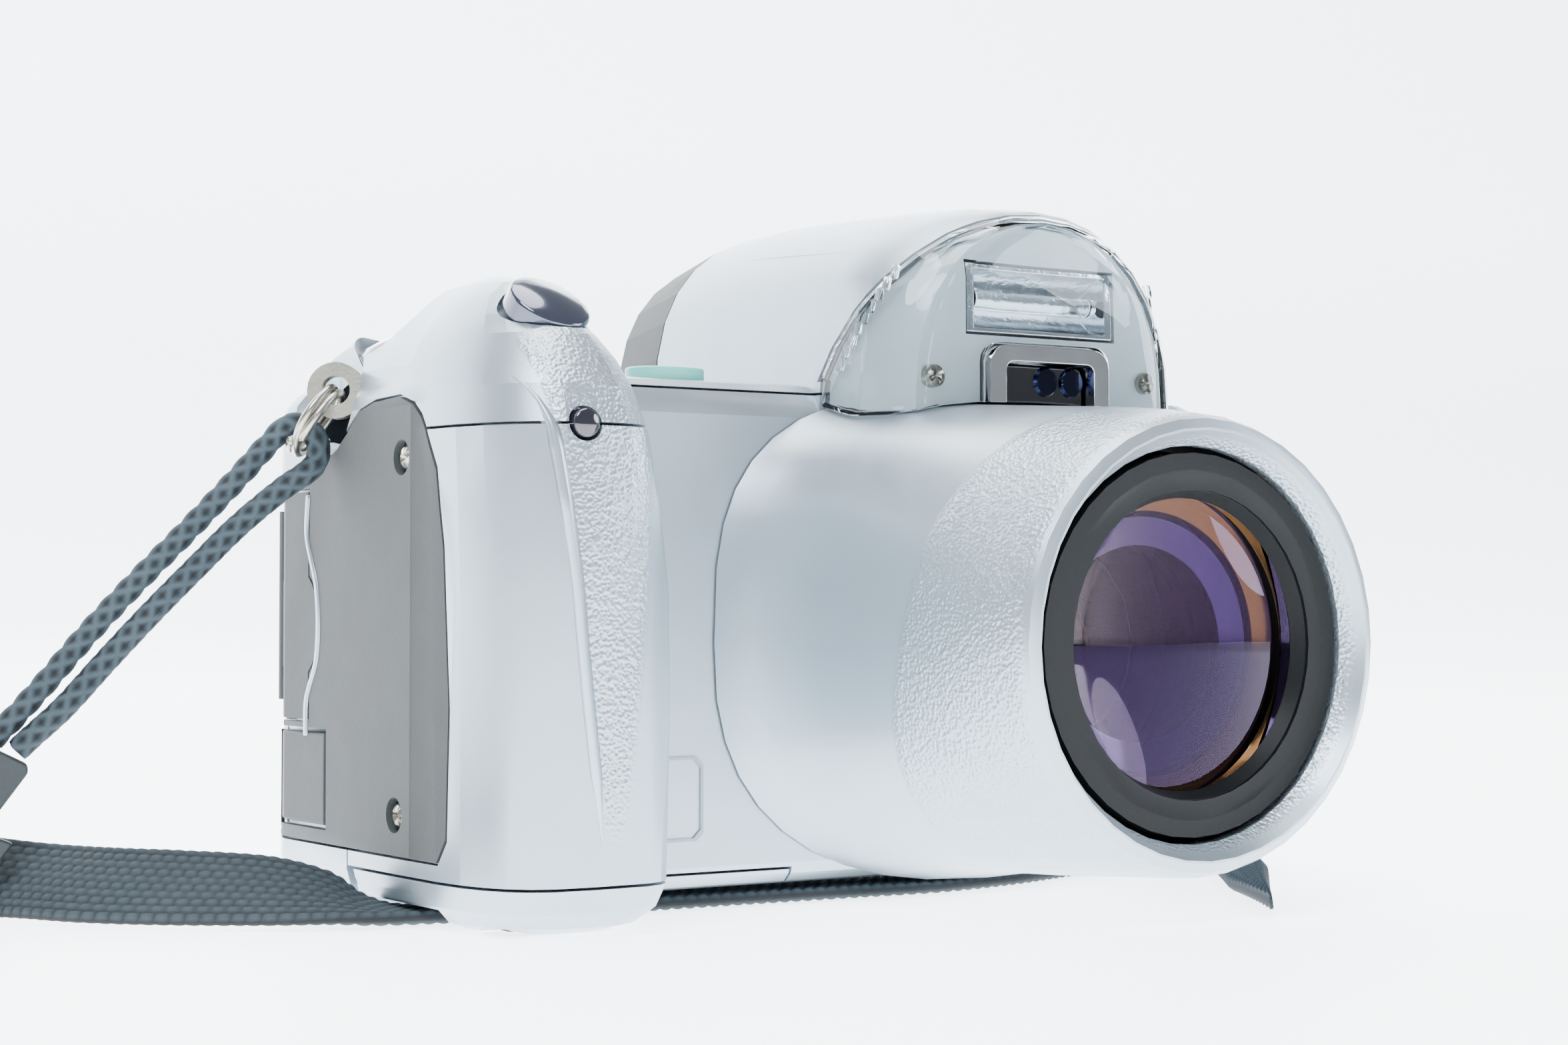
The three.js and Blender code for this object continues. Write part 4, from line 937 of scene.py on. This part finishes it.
# The focus window: a bright chrome frame, a smoked pane and two round eyes.
chrome = surface("bright chrome trim", "#d0d4d8", "#e2e5e8", 1, 0.12, 0.5, 0.006)
finished("af_frame", chrome, edge=0.3)
WINDOW_COAT = {"Coat Weight": 1.0, "Coat Roughness": 0.02}
dark_window = surface("smoked focus window", "#0b0e12", "#12161b", 0, 0.06, 1.5, 0.004, **WINDOW_COAT)
finished("af_window", dark_window, edge=0.2)
eye = bmesh.new()
bmesh.ops.create_cone(
    eye, cap_ends=True, segments=40, radius1=1.75 * MM, radius2=1.45 * MM, depth=0.5 * MM
)
placed(
    "focus_eyes",
    [((17.6, -14.0, 58.4), (0, -1, 0), 0), ((21.3, -14.0, 58.4), (0, -1, 0), 0)],
    master("focus_eye", eye),
    coated_glass("focus eye glass", "#3a3550", "#9fb0ff", 1.6),
    root,
)

# Comb teeth stand in two rows inside the clear cover and follow its arch.
tooth = bmesh.new()
bmesh.ops.create_cube(tooth, size=1.0)
for vertex in tooth.verts:
    vertex.co = Vector((vertex.co.x, vertex.co.y * 1.6, vertex.co.z * 0.6)) * MM
bmesh.ops.bevel(tooth, geom=tooth.edges[:], offset=0.12 * MM, segments=2, affect="EDGES")
teeth = []
for side in (-1, 1):
    for i in range(TEETH_PER_SIDE):
        z = 60 + i * TOOTH_PITCH
        arch = max(0, (z - COVER_SPRING_Z) / COVER_RISE) ** COVER_POWER
        half = COVER_HALF * (1 - arch) ** (1 / COVER_POWER)
        y = -1 - 0.58 * (z - 55.5) - 1.6
        teeth.append(((LENS_X + side * (half - 1.95), y, z), (side, 0, 0.25), 0))
placed("comb_teeth", teeth, master("comb_tooth", tooth), clear_cover, root)

# ---------------------------------------------------------------- controls
# Dark gunmetal buttons and dial with a polished lacquer, a mint green button, and silver keys behind.
# The dial's edge is knurled for the thumb.
gunmetal = surface(
    "polished gunmetal lacquer",
    "#3f4453",
    "#4f5465",
    0.7,
    0.14,
    0.4,
    0.003,
    **{"Coat Weight": 0.8, "Coat Roughness": 0.05},
)
finished("shutter_button", gunmetal, edge=0.3)
finished("mode_dial", gunmetal, edge=0.2)
finished("power_button", gunmetal, edge=0.25)
mint = surface("mint green moulded abs", "#6fcfc0", "#83dccd", 0, 0.3, 0.3, 0.004)
finished("green_button", mint, edge=0.25)
lamp_black = surface(
    "dark red lamp lens", "#16181d", "#22202a", 0, 0.08, 0.5, 0.003, **{"Coat Weight": 1.0}
)
finished("self_timer_lamp", lamp_black, edge=0.2)
for node in ("four_way_pad", "centre_button", "menu_button", "display_button", "play_button", "zoom_rocker"):
    finished(node, silver_paint, edge=0.25)
finished("dioptre_dial", satin_black, edge=0.25)

# The knurl is a ring of fine ribs that stand along the dial's axis.
DIAL_RADIUS, RIB_COUNT = 8.1, 60
rib = bmesh.new()
bmesh.ops.create_cone(
    rib, cap_ends=True, segments=10, radius1=0.3 * MM, radius2=0.24 * MM, depth=3.0 * MM
)
dial_axis = Vector((-0.42, 0.08, 0.9)).normalized()
dial_centre = Vector((-43, 18.5, 62.4)) + dial_axis * 0.35
dial_side = dial_axis.orthogonal().normalized()
dial_other = dial_axis.cross(dial_side)
rib_spots = []
for i in range(RIB_COUNT):
    a = 2 * math.pi * i / RIB_COUNT
    out = dial_side * math.cos(a) + dial_other * math.sin(a)
    rib_spots.append((dial_centre + DIAL_RADIUS * out, dial_axis, 0))
dial_body = frame["nodes"]["mode_dial"]["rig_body"]
placed("mode_dial_knurl", rib_spots, master("dial_rib", rib), gunmetal, dial_body)

# ---------------------------------------------------------------- rear window and bought parts
# Hard-coated acrylic over the screen; behind it the boards, cells, card and motor that fill the body.
# Each is plain and functional: solder mask, printed sleeves, bare metal and black plastic.
screen_glass = surface(
    "hard coated acrylic window", "#0c0f14", "#12161c", 0, 0.08, 1.0, 0.002, **WINDOW_COAT
)
finished("lcd_window", screen_glass, edge=0.2)
finished("eyepiece_lens", screen_glass, edge=0.3)
board_green = surface("green solder mask", "#245c3e", "#2f6f4b", 0, 0.35, 0.6, 0.02)
cell_steel = surface("printed cell sleeve", "#8f9aa6", "#a3adb6", 0.5, 0.28, 1.2, 0.004)
finished("lcd_panel", inner_black)
for node in ("main_board", "sensor_board"):
    finished(node, board_green)
for node in ("battery_1", "battery_2", "battery_3", "battery_4"):
    finished(node, cell_steel)
for node in ("memory_card", "flash_capacitor", "evf_module", "battery_latch"):
    finished(node, satin_black)
for node in ("battery_door_pin", "zoom_motor", "tripod_socket"):
    finished(node, nickel)

# ---------------------------------------------------------------- strap fittings
# Nickel-plated steel lugs and double split rings, and black acetal keepers on the strap ends.
# The rings show the seam between their two turns of wire.
RING_RADIUS, WIRE_RADIUS, RING_TURNS, WIRE_RUN = 4.0, 0.48, 1.96, 50.0
for side in ("left", "right"):
    finished("strap_lug_" + side, nickel, edge=0.25)
keeper_acetal = surface("moulded black acetal", "#23292c", "#2e3538", 0, 0.5, 0.3, 0.02)
finished("keeper_left", keeper_acetal, edge=0.4)
finished("keeper_right", keeper_acetal, edge=0.4)


def split_ring(side, centre, normal):
    """A double turn of round wire, closed on itself through a short step between the turns"""
    normal = Vector(normal).normalized()
    across = normal.orthogonal().normalized()
    other = normal.cross(across)
    stations = 150
    rings = []
    for i in range(stations):
        share = i / (stations - 1)
        a = 2 * math.pi * RING_TURNS * share
        lift = 0.5 * (2 / (1 + math.exp(-(share - 0.5) * 40)) - 1)
        out = across * math.cos(a) + other * math.sin(a)
        middle = Vector(centre) + RING_RADIUS * out + normal * lift
        rings.append(
            [
                middle + out * (WIRE_RADIUS * math.cos(b)) + normal * (WIRE_RADIUS * math.sin(b))
                for b in np.linspace(0, 2 * math.pi, 12, endpoint=False)
            ]
        )
    piece = tube_mesh("split_ring_" + side + "_wire", np.array(rings, float), WIRE_RUN, nickel)
    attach(piece, frame["nodes"]["split_ring_" + side]["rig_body"])
    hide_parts("split_ring_" + side)


left_at, left_hang = Vector((-54, 20.3, 56.6)), Vector((-0.49, 0.3, -0.818))
right_at, right_hang = Vector((55.2, 20, 50)), Vector((0.4, 0, -0.917))
split_ring("left", left_at + RING_RADIUS * left_hang, Vector((0.549, 0.836, 0)).cross(left_hang))
split_ring("right", right_at + RING_RADIUS * right_hang, Vector((0, 1, 0)).cross(right_hang))

# ---------------------------------------------------------------- table and light
# A white table that runs up behind, with large soft lamps above, left and behind for a bright high key.
TABLE_HALF, TABLE_DROP = 2.2, 0.0002
sweep = [(-1.6, 0.0), (0.9, 0.0), (1.05, 0.02), (1.18, 0.08), (1.28, 0.18), (1.32, 0.34), (1.33, 1.6)]
floor_work = bmesh.new()
left_edge, right_edge = (
    [floor_work.verts.new((x, y, z - TABLE_DROP)) for y, z in sweep] for x in (-TABLE_HALF, TABLE_HALF)
)
for i in range(len(sweep) - 1):
    floor_work.faces.new((left_edge[i], right_edge[i], right_edge[i + 1], left_edge[i + 1]))
floor_mesh = bpy.data.meshes.new("table")
floor_work.to_mesh(floor_mesh)
floor_work.free()
floor_mesh.shade_smooth()
white_board = surface("white table board", "#f6f9fc", "#fbfdff", 0, 0.5, 3.0, 0.004)
white_shader = next(n for n in white_board.node_tree.nodes if n.bl_idname == "ShaderNodeBsdfPrincipled")
white_shader.inputs["Emission Color"].default_value = linear("#f4f8fc")
white_shader.inputs["Emission Strength"].default_value = 4.0
floor_mesh.materials.append(white_board)
table = bpy.data.objects.new("table", floor_mesh)
bpy.context.scene.collection.objects.link(table)
lamps = [
    ("key_lamp", (-0.45, -0.35, 0.8), 0.5, 12, "#f2f7ff"),
    ("side_lamp", (0.75, -0.35, 0.3), 0.4, 5, "#eaf3ff"),
    ("top_lamp", (0.05, 0.15, 0.95), 0.7, 11, "#ffffff"),
    ("back_lamp", (0.2, 0.75, 0.5), 0.9, 6, "#f2f7ff"),
]
for name, place, size, power, colour in lamps:
    light = bpy.data.lights.new(name, "AREA")
    light.shape = "DISK"
    light.size = size
    light.energy = power
    light.color = linear(colour)[:3]
    lamp = bpy.data.objects.new(name, light)
    lamp.location = place
    lamp.rotation_euler = (Vector((0, 0, 0.03)) - Vector(place)).to_track_quat("-Z", "Y").to_euler()
    bpy.context.scene.collection.objects.link(lamp)
world = bpy.data.worlds.new("room")
world.use_nodes = True
background = world.node_tree.nodes["Background"]
background.inputs["Color"].default_value = linear("#eef4fa")
background.inputs["Strength"].default_value = 0.4
bpy.context.scene.world = world
